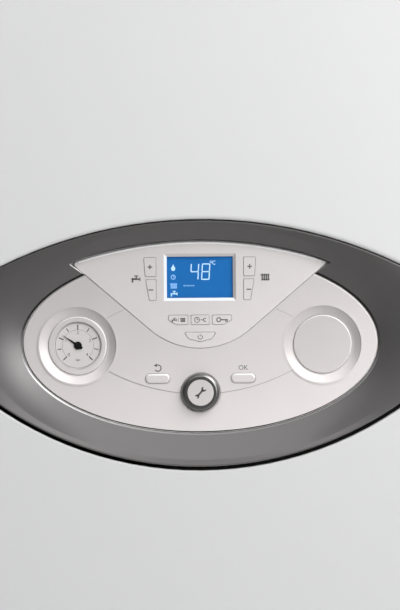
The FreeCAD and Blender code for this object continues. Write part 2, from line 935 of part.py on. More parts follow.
def burner_door():
    back = vec(exch_x, exch_front, exch_h)
    face = vec(exch_x, exch_front - door_t, exch_h)
    burner_end = vec(exch_x, exch_front + burner_l, exch_h)
    parts = [rod(exch_r, back, face)]
    parts.append(rod(burner_r, back, burner_end).cut(rod(burner_r - burner_wall, back, burner_end)))
    parts.append(rod(burner_r, burner_end.sub(FreeCAD.Vector(0, burner_wall, 0)), burner_end))
    parts[0] = parts[0].cut(rod(burner_r - burner_wall, back.add(FreeCAD.Vector(0, over, 0)), face))
    for k in range(door_nut_n):
        t = 2 * math.pi * (k + 1 / 2) / door_nut_n
        x = exch_x + exch_r * door_bolt_r_share * math.cos(t)
        h = exch_h + exch_r * door_bolt_r_share * math.sin(t)
        parts.append(level(door_nut_r, x, h, exch_front - door_t, exch_front - door_t - door_nut_h))
    top_y = -fan_back - fan_t / 2
    bend_h = fan_out_low - duct_bend - over
    fore = exch_front - door_t - duct_bend - over
    run = [vec(fan_out_x, top_y, fan_out_low), vec(fan_out_x, top_y, bend_h), vec(fan_out_x, fore, bend_h)]
    run += [vec(fan_out_x, fore, exch_h), vec(fan_out_x, exch_front - door_t / 2, exch_h)]
    pipe = bent_rod(run, duct_r, duct_bend)
    bore = bent_rod(run, duct_r - duct_wall, duct_bend)
    return joined(parts + [pipe]).cut(bore)


def fan_housing():
    back = vec(fan_x, -fan_back, fan_h)
    face = vec(fan_x, fan_front, fan_h)
    x0 = fan_out_x - fan_out_w / 2
    x1 = fan_out_x + fan_out_w / 2
    drum = rod(fan_r, back, face)
    outlet = block(x0, x1, fan_front, -fan_back, fan_out_low, fan_h)
    mixer = rod(mixer_r, face, vec(fan_x, fan_front - mixer_l, fan_h))
    port_end = vec(fan_x + mixer_r + mixer_wall, mixer_y, fan_h)
    side_port = rod(thin_r + mixer_wall, vec(fan_x, mixer_y, fan_h), port_end)
    room_back = vec(fan_x, -fan_back - fan_wall, fan_h)
    room_face = vec(fan_x, fan_front + fan_wall, fan_h)
    room = rod(fan_r - fan_wall, room_back, room_face)
    y0 = fan_front + fan_wall
    y1 = -fan_back - fan_wall
    passage = block(x0 + fan_wall, x1 - fan_wall, y0, y1, fan_out_low - over, fan_h)
    inlet = rod(fan_inlet_r, room_face, vec(fan_x, fan_front - mixer_l - over, fan_h))
    drive = rod(drive_r + lap, vec(fan_x, -fan_back + over, fan_h), room_back)
    return joined([drum, outlet, mixer, side_port]).cut([room, passage, inlet, drive])


def fan_motor():
    case = level(motor_r, fan_x, fan_h, -fan_back, -fan_back + motor_l)
    nose = vec(fan_x, -fan_back - fan_wall - impeller_gap - impeller_w / 2, fan_h)
    return case.fuse(rod(drive_r, vec(fan_x, -fan_back, fan_h), nose))


def wheel(x, h, y, r, plate, hub, width, blades, share, lean, bore):
    # back plate, hub and blades round an axle along Y, from y towards the front
    back = vec(x, y, h)
    parts = [rod(r, back, vec(x, y - plate, h)), rod(hub, back, vec(x, y - width, h))]
    for k in range(blades):
        blade = block(x + r * share, x + r, y - width, y - plate / 2, h - blade_t / 2, h + blade_t / 2)
        blade.rotate(vec(x + r * share, y, h), FreeCAD.Vector(0, 1, 0), lean)
        trim = rod(r, back, vec(x, y - width, h))
        blade = blade.common(trim)
        blade.rotate(vec(x, y, h), FreeCAD.Vector(0, 1, 0), 360 * k / blades)
        parts.append(blade)
    return joined(parts).cut(level(bore, x, h, y + over, y - width - over))


def fan_impeller():
    y = -fan_back - fan_wall - impeller_gap
    return wheel(fan_x, fan_h, y, impeller_r, impeller_plate, impeller_hub_r, impeller_w, blade_n,
                 blade_in_share, blade_lean, drive_r + slip)


def gas_valve():
    y0 = gas_y - valve_d / 2
    body = block(-valve_w / 2, valve_w / 2, y0, y0 + valve_d, valve_low, valve_top)
    body = body.makeFillet(coil_r / 4, edges_along_y(body))
    parts = [body]
    for s in (-1, 1):
        x = s * coil_x_share * valve_w
        h = valve_low + valve_h / 2
        parts.append(level(coil_r, x, h, y0, y0 - coil_l))
    parts.append(upright(thin_r + mixer_wall, thin_x, gas_y, valve_top - thin_r, valve_top + thin_r))
    return joined(parts)


def gas_pipes():
    x = conn_x[2]
    inlet = [vec(x, conn_y, stub_high), vec(x, conn_y, gas_jog_h)]
    inlet += [vec(x, gas_y, gas_jog_h), vec(x, gas_y, valve_low)]
    end_x = fan_x + mixer_r + mixer_wall
    feed = [vec(thin_x, gas_y, valve_top + thin_r), vec(thin_x, gas_y, thin_h), vec(thin_x, mixer_y, thin_h)]
    feed += [vec(thin_x, mixer_y, fan_h), vec(end_x, mixer_y, fan_h)]
    main = bent_pipe(inlet, gas_r, gas_wall, gas_bend)
    return Part.Compound([main, bent_pipe(feed, thin_r, gas_wall, thin_bend)])


def stub_radii():
    return [stub_big_r, stub_small_r, stub_big_r, stub_small_r, stub_big_r]


def pipe_stubs():
    stubs = []
    for x, r in zip(conn_x, stub_radii()):
        low = vec(x, conn_y, stub_low)
        high = vec(x, conn_y, stub_high)
        collar = upright(r + stub_collar_t, x, conn_y, base_top, base_top + stub_collar_t)
        nut = hexagon(r + stub_collar_t, x, conn_y, base_h - nut_t, base_h)
        stubs.append(joined([rod(r, low, high), collar, nut]).cut(rod(r * stub_bore_share, low, high)))
    return Part.Compound(stubs)


def group_body(x):
    body = block(x - group_half_w, x + group_half_w, -group_front, -group_back, stub_high, group_top)
    edges = [e for e in body.Edges if e.BoundBox.ZLength > slip]
    return body.makeFillet(group_half_w / 3, edges)


def flow_group():
    # valve block with the diverter motor in front
    x = conn_x[0]
    port = upright(heat_r + pipe_wall, x, conn_y, group_top, group_top + heat_r)
    neck = level(divert_r / 2, x, divert_h, -group_front, -group_front - divert_r / 2)
    case = level(divert_r, x, divert_h, -group_front - divert_r / 2, -group_front - divert_l)
    return joined([group_body(x), port, neck, case])


def relief_out_y():
    return -group_front - relief_l / 2


def return_group():
    nose = vec(pump_x, -group_front - relief_l, relief_h)
    parts = [group_body(pump_x), rod(relief_r, vec(pump_x, -group_front, relief_h), nose)]
    parts.append(rod(relief_stem_r, nose, nose.sub(FreeCAD.Vector(0, relief_stem_l, 0))))
    out_y = relief_out_y()
    spout = upright(relief_out_r, pump_x, out_y, relief_out_low, relief_h)
    spout_bore = upright(relief_out_r - pipe_wall, pump_x, out_y, relief_out_low, relief_h - relief_r)
    ring = upright(relief_out_r + ring_w, pump_x, out_y, base_h - ring_t, base_h)
    return joined(parts + [spout, ring]).cut(spout_bore)


def relief_knob():
    back_y = -group_front - relief_l - relief_knob_gap
    back = vec(pump_x, back_y, relief_h)
    body = rod(relief_knob_r, back, vec(pump_x, back_y - relief_knob_l, relief_h))
    cuts = [rod(relief_stem_r + slip, back, vec(pump_x, back_y - relief_stem_l, relief_h))]
    for k in range(grip_n):
        t = 2 * math.pi * k / grip_n
        x = pump_x + relief_knob_r * math.cos(t)
        h = relief_h + relief_knob_r * math.sin(t)
        cuts.append(level(grip_r, x, h, back_y + over, back_y - relief_knob_l - over))
    return body.cut(cuts)


def plate_exchanger():
    y1 = -plate_back
    y0 = y1 - plate_t
    stack = block(-plate_half_w, plate_half_w, y0, y1, plate_low, plate_low + plate_h)
    upright = [e for e in stack.Edges if e.BoundBox.YLength > plate_t - slip]
    stack = stack.makeFillet(plate_groove_d * 4, upright)
    core = block(-plate_half_w + plate_groove_d, plate_half_w - plate_groove_d, y0, y1,
                 plate_low + plate_groove_d, plate_low + plate_h - plate_groove_d)
    core = core.makeFillet(plate_groove_d * 3, [e for e in core.Edges if e.BoundBox.YLength > plate_t - slip])
    skin = stack.cut(core)
    cuts = []
    for k in range(plate_n):
        y = y0 + plate_t * (k + 1) / (plate_n + 1)
        a = y - plate_groove / 2
        cuts.append(skin.common(block(-half_w, half_w, a, a + plate_groove, 0, case_h)))
    return stack.cut(cuts)


def pump_housing():
    back = vec(pump_x, -pump_back, pump_h)
    face = vec(pump_x, pump_front, pump_h)
    inlet = upright(spigot_r, pump_x, conn_y, group_top, pump_h)
    outlet = upright(spigot_r, pump_x, conn_y, pump_h, pump_h + pump_r + pump_out_l)
    room = level(pump_room_r, pump_x, pump_h, pump_front + pump_room_l, pump_front - over)
    return joined([rod(pump_r, back, face), inlet, outlet]).cut(room)


def pump_motor():
    face = vec(pump_x, pump_front, pump_h)
    end = vec(pump_x, pump_front - pump_motor_l, pump_h)
    case = rod(pump_motor_r, face, end)
    rim = [e for e in edges_at_depth(case, pump_front - pump_motor_l - front)]
    case = case.makeFillet(pump_motor_r / 6, rim)
    y0 = pump_front - pump_motor_l * 2 / 3
    box = block(pump_x - pump_box_w / 2, pump_x + pump_box_w / 2, y0, pump_front - over, pump_h,
                pump_h + pump_motor_r + pump_box_h / 3)
    shaft = rod(drive_r, face, vec(pump_x, pump_front + pump_disc_gap + pump_vane_w, pump_h))
    return joined([case, box, shaft])


def pump_impeller():
    y = pump_front + pump_disc_gap + pump_vane_w + pump_disc_t
    return wheel(pump_x, pump_h, y, pump_disc_r, pump_disc_t, impeller_hub_r, pump_vane_w + pump_disc_t,
                 pump_vane_n, 1 / 2, blade_lean, drive_r + slip)


def water_pipes():
    flow = [vec(conn_x[0], conn_y, group_top + heat_r), vec(conn_x[0], conn_y, flow_jog_h)]
    flow += [vec(flow_x, conn_y, flow_jog_h), vec(flow_x, conn_y, exch_low)]
    back = [vec(pump_x, conn_y, pump_h + pump_r + pump_out_l), vec(pump_x, conn_y, return_run_h)]
    back += [vec(return_x, conn_y, return_run_h), vec(return_x, conn_y, exch_low)]
    hot_x = conn_x[1]
    hot_h = cold_run_h + tap_r
    hot = [vec(hot_x, conn_y, stub_high), vec(hot_x, conn_y, tap_low_h), vec(hot_x, tank_y2, tap_low_h)]
    hot += [vec(hot_x, tank_y2, hot_h), vec(tank_x, tank_y2, hot_h), vec(tank_x, tank_y2, shelf_h)]
    cold_x = conn_x[3]
    cold = [vec(cold_x, conn_y, stub_high), vec(cold_x, conn_y, tap_low_h), vec(cold_x, cold_y, tap_low_h)]
    cold += [vec(cold_x, cold_y, cold_run_h), vec(tank_x, cold_y, cold_run_h)]
    cold += [vec(tank_x, tank_y1, cold_run_h), vec(tank_x, tank_y1, shelf_h)]
    port = vessel_port()
    turn = vec(port.x, port.y, vessel_run_h)
    vessel = [port, turn, vec(pump_x, port.y, vessel_run_h), vec(pump_x, port.y, group_top)]
    runs = [bent_pipe(flow, heat_r, pipe_wall, heat_bend), bent_pipe(back, heat_r, pipe_wall, heat_bend)]
    runs += [bent_pipe(hot, tap_r, pipe_wall, tap_bend), bent_pipe(cold, tap_r, pipe_wall, tap_bend)]
    return Part.Compound(runs + [bent_pipe(vessel, vessel_pipe_r, pipe_wall, tap_bend)])


def condensate_trap():
    low = vec(trap_x, drain_y, trap_low)
    high = vec(trap_x, drain_y, trap_top)
    cup = rod(trap_r, low, high).cut(rod(trap_r - trap_wall, low.add(FreeCAD.Vector(0, 0, trap_wall)), high))
    cap = rod(trap_cap_r, vec(trap_x, drain_y, trap_top - trap_cap_t), high)
    cap = cap.cut(upright(trap_r - trap_wall, trap_x, drain_y, trap_low, trap_top - trap_wall))
    out = rod(trap_out_r, vec(trap_x, drain_y, trap_out_low), low)
    run = [high, vec(trap_x, drain_y, hose_run_h), vec(exch_x, drain_y, hose_run_h)]
    run += [vec(exch_x, drain_y, exch_low)]
    out_bore = upright(trap_out_r - trap_wall, trap_x, drain_y, trap_out_low, trap_low + trap_wall)
    ring = upright(trap_out_r + ring_w, trap_x, drain_y, base_h - ring_t, base_h)
    hose = bent_rod(run, hose_r, tap_bend)
    hose_bore = bent_rod(run, hose_r - hose_wall, tap_bend)
    return joined([cup, cap, out, ring, hose]).cut([out_bore, hose_bore])


def cable_gland():
    low = vec(gland_x, gland_y, base_h - gland_l)
    high = vec(gland_x, gland_y, base_top + gland_nut_t)
    body = rod(gland_r, low, high)
    under = hexagon(gland_nut_r, gland_x, gland_y, base_h - gland_nut_t, base_h)
    above = hexagon(gland_nut_r, gland_x, gland_y, base_top, base_top + gland_nut_t)
    return joined([body, under, above]).cut(rod(gland_bore_r, low, high))


def ear_span(s):
    # ends of an ear of the bezel along the hinge line
    near = hinge_in + lug_w + lug_gap
    return at(s * near, hinge_v, hinge_d), at(s * (near + lug_w), hinge_v, hinge_d)


def bezel_ear(s):
    a, b = ear_span(s)
    root_d = bezel_set + bezel_wall
    corner = at(min(a.x, b.x), hinge_v - ear_r, root_d)
    root = Part.makeBox(lug_w, hinge_d - root_d, 2 * ear_r, corner)
    return rod(ear_r, a, b).fuse(root)


def arm_notch(s):
    # room for an arm of the carrier, from the panel closed to the panel tilted out
    r = knuckle_r + arm_room
    run = 2 * (bezel_d - hinge_d)
    low_d = -r * math.sin(panel_tilt)
    low_v = -r * math.cos(panel_tilt)
    end_d = low_d + run * math.cos(panel_tilt)
    end_v = low_v - run * math.sin(panel_tilt)
    u0 = s * (hinge_in + lug_w / 2) - lug_w / 2 - lug_gap
    loop = [(0, r), (run, r), (end_d, end_v), (low_d, low_v), (0, r)]
    side = Part.makePolygon([at(u0, hinge_v + v, hinge_d + d) for d, v in loop])
    wide = FreeCAD.Vector(lug_w + 2 * lug_gap, 0, 0)
    start = at(u0, hinge_v, hinge_d)
    return Part.Face(side).extrude(wide).fuse(rod(r, start, start.add(wide)))


def panel_bezel():
    body = prism(eye_wire(0, 0, eye_tip_r, bezel_set), bezel_set, bezel_d)
    body = body.makeFillet(bezel_edge_r, edges_at_depth(body, bezel_set))
    mouth = eye_wire(-bezel_land, -bezel_land, eye_tip_r - bezel_land, bezel_set)
    knee = ellipse_wire(dish_knee_u, dish_knee_v, dish_knee_d)
    inner = ellipse_wire(lip_w, lip_w, dish_end)
    dish = Part.makeLoft([mouth, knee, inner], True, True)
    shifted = dish.translated(FreeCAD.Vector(0, bezel_wall, 0))
    back = bezel_set + bezel_wall
    inside = eye_wire(-bezel_rim_w, -bezel_rim_w, eye_tip_r - bezel_rim_w, back)
    hollow = prism(inside, back, bezel_d + over).cut(shifted)
    lip = Part.makeLoft([inner, ellipse_wire(lip_gap, lip_gap, dish_end + lip_drop)], True, True)
    shield_wires = [shield_wire(shield_lip + lip_gap, shield_lip_d), shield_wire(lip_gap, shield_d)]
    shield_lip_cut = Part.makeLoft(shield_wires, True, True)
    body = body.cut([dish, hollow])
    body = body.cut([lip, ellipse_prism(lip_gap, bezel_set, bezel_d + over)])
    body = body.cut([shield_lip_cut, shield_prism(lip_gap, shield_d - over, bezel_d + over)])
    body = joined([body] + [bezel_ear(s) for s in (-1, 1)])
    front_room = prism(eye_wire(-bezel_land, -bezel_land, eye_tip_r, 0), 0, bezel_set)
    cuts = [dish, front_room]
    for s in (-1, 1):
        a, b = ear_span(s)
        cuts += [rod(pin_r + slip, a, b), arm_notch(s)]
    return body.cut(cuts)


def cup_parts(u):
    solid = [peg(cup_r + cup_wall, u, dial_v, fascia_d, cup_back)]
    solid.append(peg(cup_r + bead_w, u, dial_v, fascia_d - bead_h, fascia_d + over))
    slope_end = fascia_d + cup_drop
    cuts = [peg(cup_r, u, dial_v, fascia_d - bead_h - over, fascia_d)]
    cuts.append(cone(cup_r, cup_in_r, at(u, dial_v, fascia_d), at(u, dial_v, slope_end)))
    cuts.append(peg(cup_in_r, u, dial_v, slope_end, cup_back + over))
    return solid, cuts


def panel_fascia():
    plate = ellipse_prism(0, fascia_d, fascia_d + fascia_wall)
    plate = plate.makeFillet(fascia_edge_r, edges_at_depth(plate, fascia_d))
    ring_d = dish_end + bezel_wall
    ring = ellipse_prism(flange_w, ring_d, seat_d).cut(ellipse_prism(-flange_in, ring_d, seat_d + over))
    pad_d = fascia_d - pad_rise
    pad_wire = lens_wire(pad_half_h + pad_v, pad_r, pad_half_h - pad_v, pad_r, pad_tip_r, pad_d)
    pad = prism(pad_wire, pad_d, fascia_d + fascia_wall)
    left, left_cuts = cup_parts(-dial_u)
    right, right_cuts = cup_parts(dial_u)
    body = joined([plate, ring, pad] + left + right)
    cuts = left_cuts + right_cuts
    cuts.append(prism(shield_wire(shield_gap, 0), 0, seat_d + over))
    flange_d = fascia_d + fascia_wall
    cuts.append(prism(shield_wire(shield_flange + shield_gap, flange_d), flange_d, cup_back + over))
    pocket_d = fascia_d + knob_pocket_d
    cuts.append(peg(knob_pocket_r, 0, knob_v, 0, pocket_d))
    cuts.append(peg(bush_r() + key_gap, 0, knob_v, 0, seat_d))
    for s in (-1, 1):
        cuts.append(pill_prism(s * pill_u, pill_v, pill_w + 2 * key_gap, pill_h + 2 * key_gap, 0, seat_d))
    return body.cut(cuts)


def bush_r():
    return shaft_r + slip + sleeve_wall + slip + bush_wall


def mirrored(points):
    return [(-u, v) for u, v in reversed(points)]


def shield_keys():
    # outlines of the keys in the shield, by node name
    plus = [(step_key_in, plus_low), (plus_out_low, plus_low)]
    plus += [(plus_out_top, plus_top), (step_key_in, plus_top)]
    minus = [(step_key_in, minus_low), (minus_out_low, minus_low)]
    minus += [(minus_out_top, minus_top), (step_key_in, minus_top)]
    middle = [(-mode_half_w, mode_low), (mode_half_w, mode_low)]
    middle += [(mode_half_w, mode_top), (-mode_half_w, mode_top)]
    outer = [(mode_in, mode_low), (mode_cut_u, mode_low), (mode_out, mode_cut_v)]
    outer += [(mode_out, mode_top), (mode_in, mode_top)]
    power = [(0, power_low), (power_cut_u, power_cut_v), (power_half_w, power_top)]
    power += [(-power_half_w, power_top), (-power_cut_u, power_cut_v)]
    return {
        "water_plus_key": mirrored(plus),
        "water_minus_key": mirrored(minus),
        "heating_plus_key": plus,
        "heating_minus_key": minus,
        "left_mode_key": mirrored(outer),
        "middle_mode_key": middle,
        "right_mode_key": outer,
        "power_key": power,
    }


def grown(points, step):
    # outline moved outwards by step, with the corners kept
    lines = []
    n = len(points)
    for i in range(n):
        p = points[i]
        q = points[(i + 1) % n]
        run = math.hypot(q[0] - p[0], q[1] - p[1])
        nu = (q[1] - p[1]) / run
        nv = (p[0] - q[0]) / run
        lines.append((nu, nv, nu * p[0] + nv * p[1] + step))
    result = []
    for i in range(n):
        a = lines[i - 1]
        b = lines[i]
        det = a[0] * b[1] - a[1] * b[0]
        result.append(((a[2] * b[1] - a[1] * b[2]) / det, (a[0] * b[2] - a[2] * b[0]) / det))
    return result


def middle_of(points):
    us = [p[0] for p in points]
    vs = [p[1] for p in points]
    return (min(us) + max(us)) / 2, (min(vs) + max(vs)) / 2


def shield_key(points):
    face = shield_d - key_rise
    collar_d = shield_d + shield_wall + key_collar_gap
    cap = polygon_prism(points, face, collar_d + key_collar_t, key_corner_r)
    cap = cap.makeFillet(key_edge_r, edges_at_depth(cap, face))
    collar = polygon_prism(grown(points, key_collar), collar_d, collar_d + key_collar_t, key_corner_r)
    u, v = middle_of(points)
    stem = peg(key_stem_r, u, v, collar_d, switch_d - key_travel - key_gap)
    return joined([cap, collar, stem])


def pill_key(u):
    face = fascia_d - pill_rise
    collar_d = fascia_d + fascia_wall + key_collar_gap
    cap = pill_prism(u, pill_v, pill_w, pill_h, face, collar_d + key_collar_t)
    cap = cap.makeFillet(pill_edge_r, edges_at_depth(cap, face))
    wide = pill_w + 2 * key_collar
    high = pill_h + 2 * key_collar
    collar = pill_prism(u, pill_v, wide, high, collar_d, collar_d + key_collar_t)
    stem = peg(key_stem_r, u, pill_v, collar_d, switch_d - key_travel - key_gap)
    return joined([cap, collar, stem])


def window_frame(grow, d):
    w = window_w / 2 + grow
    h = window_h / 2 + grow
    loop = [at(s * w, window_v + t * h, d) for s, t in ((-1, -1), (1, -1), (1, 1), (-1, 1), (-1, -1))]
    return Part.makePolygon(loop)


def display_shield():
    plate_back = shield_d + shield_wall
    flange_d = fascia_d + fascia_wall
    outer = shield_prism(0, shield_d, seat_d)
    outer = outer.makeFillet(shield_edge_r, edges_at_depth(outer, shield_d))
    flange = shield_prism(shield_flange, flange_d, seat_d)
    hollow = prism(shield_wire(-shield_wall, plate_back), plate_back, seat_d + over)
    body = joined([outer, flange]).cut(hollow)
    cuts = []
    for points in shield_keys().values():
        cuts.append(polygon_prism(grown(points, key_gap), 0, plate_back + over, key_corner_r))
    bevel = [window_frame(window_bevel, shield_d), window_frame(0, shield_d + window_bevel_d)]
    cuts.append(Part.makeLoft(bevel, True, True))
    cuts.append(prism(window_frame(0, shield_d), shield_d, plate_back + over))
    return body.cut(cuts)


def display_window():
    return prism(window_frame(pane_over, pane_d), pane_d, pane_d + pane_t)


def lcd_module():
    glass = prism(window_frame(pane_over, lcd_d), lcd_d, lcd_d + lcd_t)
    parts = [glass]
    w = window_w / 2 + pane_over - lcd_leg
    h = window_h / 2 + pane_over - lcd_leg
    for s in (-1, 1):
        for t in (-1, 1):
            u = s * w - (lcd_leg if s < 0 else 0)
            v = window_v + t * h - (lcd_leg if t < 0 else 0)
            parts.append(Part.makeBox(lcd_leg, board_d - lcd_d, lcd_leg, at(u, v, lcd_d)))
    return joined(parts)


def control_board():
    corner = at(-board_half_w, -board_low, board_d)
    parts = [Part.makeBox(2 * board_half_w, board_t, board_top + board_low, corner)]
    spots = [middle_of(k) for k in shield_keys().values()] + [(-pill_u, pill_v), (pill_u, pill_v)]
    for u, v in spots:
        corner = at(u - switch_w / 2, v - switch_w / 2, switch_d)
        parts.append(Part.makeBox(switch_w, switch_h, switch_w, corner))
    return joined(parts)


def control_box():
    mouth = eye_wire(-box_in_top, -box_in_low, box_tip_r, seat_d)
    floor = eye_wire(-box_in_top - box_draft, -box_in_low - box_draft, box_tip_r, box_d)
    outer = Part.makeLoft([mouth, floor], True, True)
    t = box_in_top + box_wall
    b = box_in_low + box_wall
    mouth_in = eye_wire(-t, -b, box_tip_r - box_wall, seat_d)
    floor_wire = eye_wire(-t - box_draft, -b - box_draft, box_tip_r - box_wall, box_d - box_wall)
    box = outer.cut(Part.makeLoft([mouth_in, floor_wire], True, True))
    posts = []
    for s in (-1, 1):
        for v in (board_top - board_post_in, board_post_in - board_low):
            u = s * (board_half_w - board_post_in)
            posts.append(peg(post_r, u, v, board_d + board_t, box_d - box_wall))
    return joined([box] + posts)


def gauge_case():
    u = -dial_u
    drum = peg(gauge_r, u, dial_v, gauge_d, cup_back + gauge_flange_t)
    drum = drum.makeFillet(gauge_edge_r, edges_at_depth(drum, gauge_d))
    flange = peg(gauge_flange_r, u, dial_v, cup_back, cup_back + gauge_flange_t)
    body_end = at(u, dial_v, dial_floor + gauge_body_l)
    body = rod(gauge_body_r, at(u, dial_v, cup_back), body_end)
    spindle = peg(spindle_r, u, dial_v, needle_d, dial_floor)
    seat = peg(glass_r + glass_gap, u, dial_v, gauge_d - over, glass_seat)
    room = peg(glass_r - ledge, u, dial_v, glass_seat, dial_floor)
    return joined([joined([drum, flange, body]).cut([seat, room]), spindle])


def gauge_dial():
    u = -dial_u
    r = glass_r - ledge - glass_gap
    disc = peg(r, u, dial_v, dial_floor - dial_t, dial_floor)
    return disc.cut(peg(spindle_r + glass_gap, u, dial_v, gauge_d, dial_floor + over))


def gauge_window():
    u = -dial_u
    return peg(glass_r, u, dial_v, gauge_d + glass_set, glass_seat)


def gauge_needle():
    u = -dial_u
    d0 = needle_d - needle_t / 2
    half = needle_w / 2
    loop = [(needle_tip, 0), (0, half), (-needle_tail, half)]
    loop += [(-needle_tail, -half), (0, -half), (needle_tip, 0)]
    turned = []
    for p, q in loop:
        cu = u + p * math.cos(needle_angle) - q * math.sin(needle_angle)
        cv = dial_v + p * math.sin(needle_angle) + q * math.cos(needle_angle)
        turned.append(at(cu, cv, d0))
    hand = prism(Part.makePolygon(turned), d0, d0 + needle_t)
    hub = peg(hub_r, u, dial_v, needle_d - hub_t, d0 + needle_t)
    socket = peg(spindle_r + slip, u, dial_v, needle_d - slip, dial_floor)
    return joined([hand, hub]).cut(socket)


def timer_blank():
    drum = peg(gauge_r, dial_u, dial_v, gauge_d, cup_back + gauge_flange_t)
    drum = drum.makeFillet(gauge_edge_r, edges_at_depth(drum, gauge_d))
    flange = peg(gauge_flange_r, dial_u, dial_v, cup_back, cup_back + gauge_flange_t)
    return joined([drum, flange])


def encoder_body():
    w = encoder_w / 2
    body = Part.makeBox(encoder_w, encoder_h, encoder_w, at(-w, knob_v - w, encoder_d))
    bush = peg(bush_r(), 0, knob_v, bush_d, encoder_d + over)
    bore = peg(bush_r() - bush_wall, 0, knob_v, 0, encoder_d + over)
    room = peg(disc_r + disc_room, 0, knob_v, encoder_d + over, board_d - over)
    return joined([body, bush]).cut([bore, room])


def flat_rod(r, flat, d0, d1):
    # round rod with one flat side on top
    trim = Part.makeBox(2 * r, d1 - d0 + 2 * over, r, at(-r, knob_v + flat, d0 - over))
    return peg(r, 0, knob_v, d0, d1).cut(trim)


def encoder_rotor():
    disc_d = encoder_d + over + disc_room
    sleeve = peg(shaft_r + slip + sleeve_wall, 0, knob_v, bush_d, disc_d + disc_t)
    disc = peg(disc_r, 0, knob_v, disc_d, disc_d + disc_t)
    bore = flat_rod(shaft_r + slip, shaft_flat + slip, bush_d - over, disc_d + disc_t + over)
    return joined([sleeve, disc]).cut(bore)


def encoder_knob():
    body = peg(knob_r, 0, knob_v, knob_d, knob_base)
    body = body.makeFillet(knob_front_r, edges_at_depth(body, knob_d))
    recess = peg(cap_r + cap_gap, 0, knob_v, 2 * knob_d - bush_d, knob_d + cap_t)
    hollow = peg(knob_r - knob_wall, 0, knob_v, knob_d + cap_t + knob_floor, knob_base + over)
    shaft = flat_rod(shaft_r, shaft_flat, knob_d + cap_t + over, encoder_d + over + disc_room)
    return joined([body.cut([recess, hollow]), shaft])


def knob_cap():
    cap = peg(cap_r, 0, knob_v, knob_d, knob_d + cap_t)
    return cap.makeFillet(cap_gap * 2, edges_at_depth(cap, knob_d))


def panel_carrier():
    d1 = rim_d
    d0 = d1 - carrier_t
    low = -eye_low - carrier_down
    high = eye_top + carrier_up
    plate = Part.makeBox(2 * carrier_half_w, carrier_t, high - low, at(-carrier_half_w, low, d0))
    hole = prism(eye_wire(carrier_room_top, carrier_room_low, eye_tip_r, d0 - over), d0 - over, d1 + over)
    parts = [plate.cut(hole)]
    for s in (-1, 1):
        u0 = s * hinge_in - (lug_w if s < 0 else 0)
        parts.append(Part.makeBox(lug_w, d1 - hinge_d, 2 * knuckle_r, at(u0, hinge_v - knuckle_r, hinge_d)))
        parts.append(Part.makeBox(lug_w, carrier_t, hinge_v - low, at(u0, low, d0)))
        parts.append(rod(knuckle_r, at(u0, hinge_v, hinge_d), at(u0 + lug_w, hinge_v, hinge_d)))
        parts.append(rod(pin_r, at(s * (hinge_in + lug_w / 2), hinge_v, hinge_d), ear_span(s)[1]))
    return joined(parts)


def build():
    nodes = {
        "wall_bracket": wall_bracket(),
        "rear_frame": rear_frame(),
        "top_plate": top_plate(),
        "bottom_plate": bottom_plate(),
        "left_side_panel": side_panel(-1),
        "right_side_panel": side_panel(1),
        "front_casing": front_casing(),
        "casing_screws": casing_screws(),
        "panel_carrier": panel_carrier(),
        "tank_shelf": tank_shelf(),
        "storage_tanks": storage_tanks(),
        "expansion_vessel": expansion_vessel(),
        "chamber_box": chamber_box(),
        "chamber_cover": chamber_cover(),
        "heat_exchanger": heat_exchanger(),
        "burner_door": burner_door(),
        "flue_duct": flue_duct(),
        "flue_collar": flue_collar(),
        "fan_housing": fan_housing(),
        "fan_motor": fan_motor(),
        "fan_impeller": fan_impeller(),
        "gas_valve": gas_valve(),
        "gas_pipes": gas_pipes(),
        "pipe_stubs": pipe_stubs(),
        "flow_group": flow_group(),
        "return_group": return_group(),
        "relief_knob": relief_knob(),
        "plate_exchanger": plate_exchanger(),
        "pump_housing": pump_housing(),
        "pump_motor": pump_motor(),
        "pump_impeller": pump_impeller(),
        "water_pipes": water_pipes(),
        "condensate_trap": condensate_trap(),
        "cable_gland": cable_gland(),
        "panel_bezel": panel_bezel(),
        "panel_fascia": panel_fascia(),
        "display_shield": display_shield(),
        "display_window": display_window(),
        "lcd_module": lcd_module(),
        "control_board": control_board(),
        "control_box": control_box(),
        "gauge_case": gauge_case(),
        "gauge_dial": gauge_dial(),
        "gauge_window": gauge_window(),
        "gauge_needle": gauge_needle(),
        "timer_blank": timer_blank(),
        "encoder_body": encoder_body(),
        "encoder_rotor": encoder_rotor(),
        "encoder_knob": encoder_knob(),
        "knob_cap": knob_cap(),
        "return_key": pill_key(-pill_u),
        "confirm_key": pill_key(pill_u),
    }
    for name, points in shield_keys().items():
        nodes[name] = shield_key(points)
    return nodes


for node, shape in build().items():
    shape.exportStep("parts/" + node + ".step")
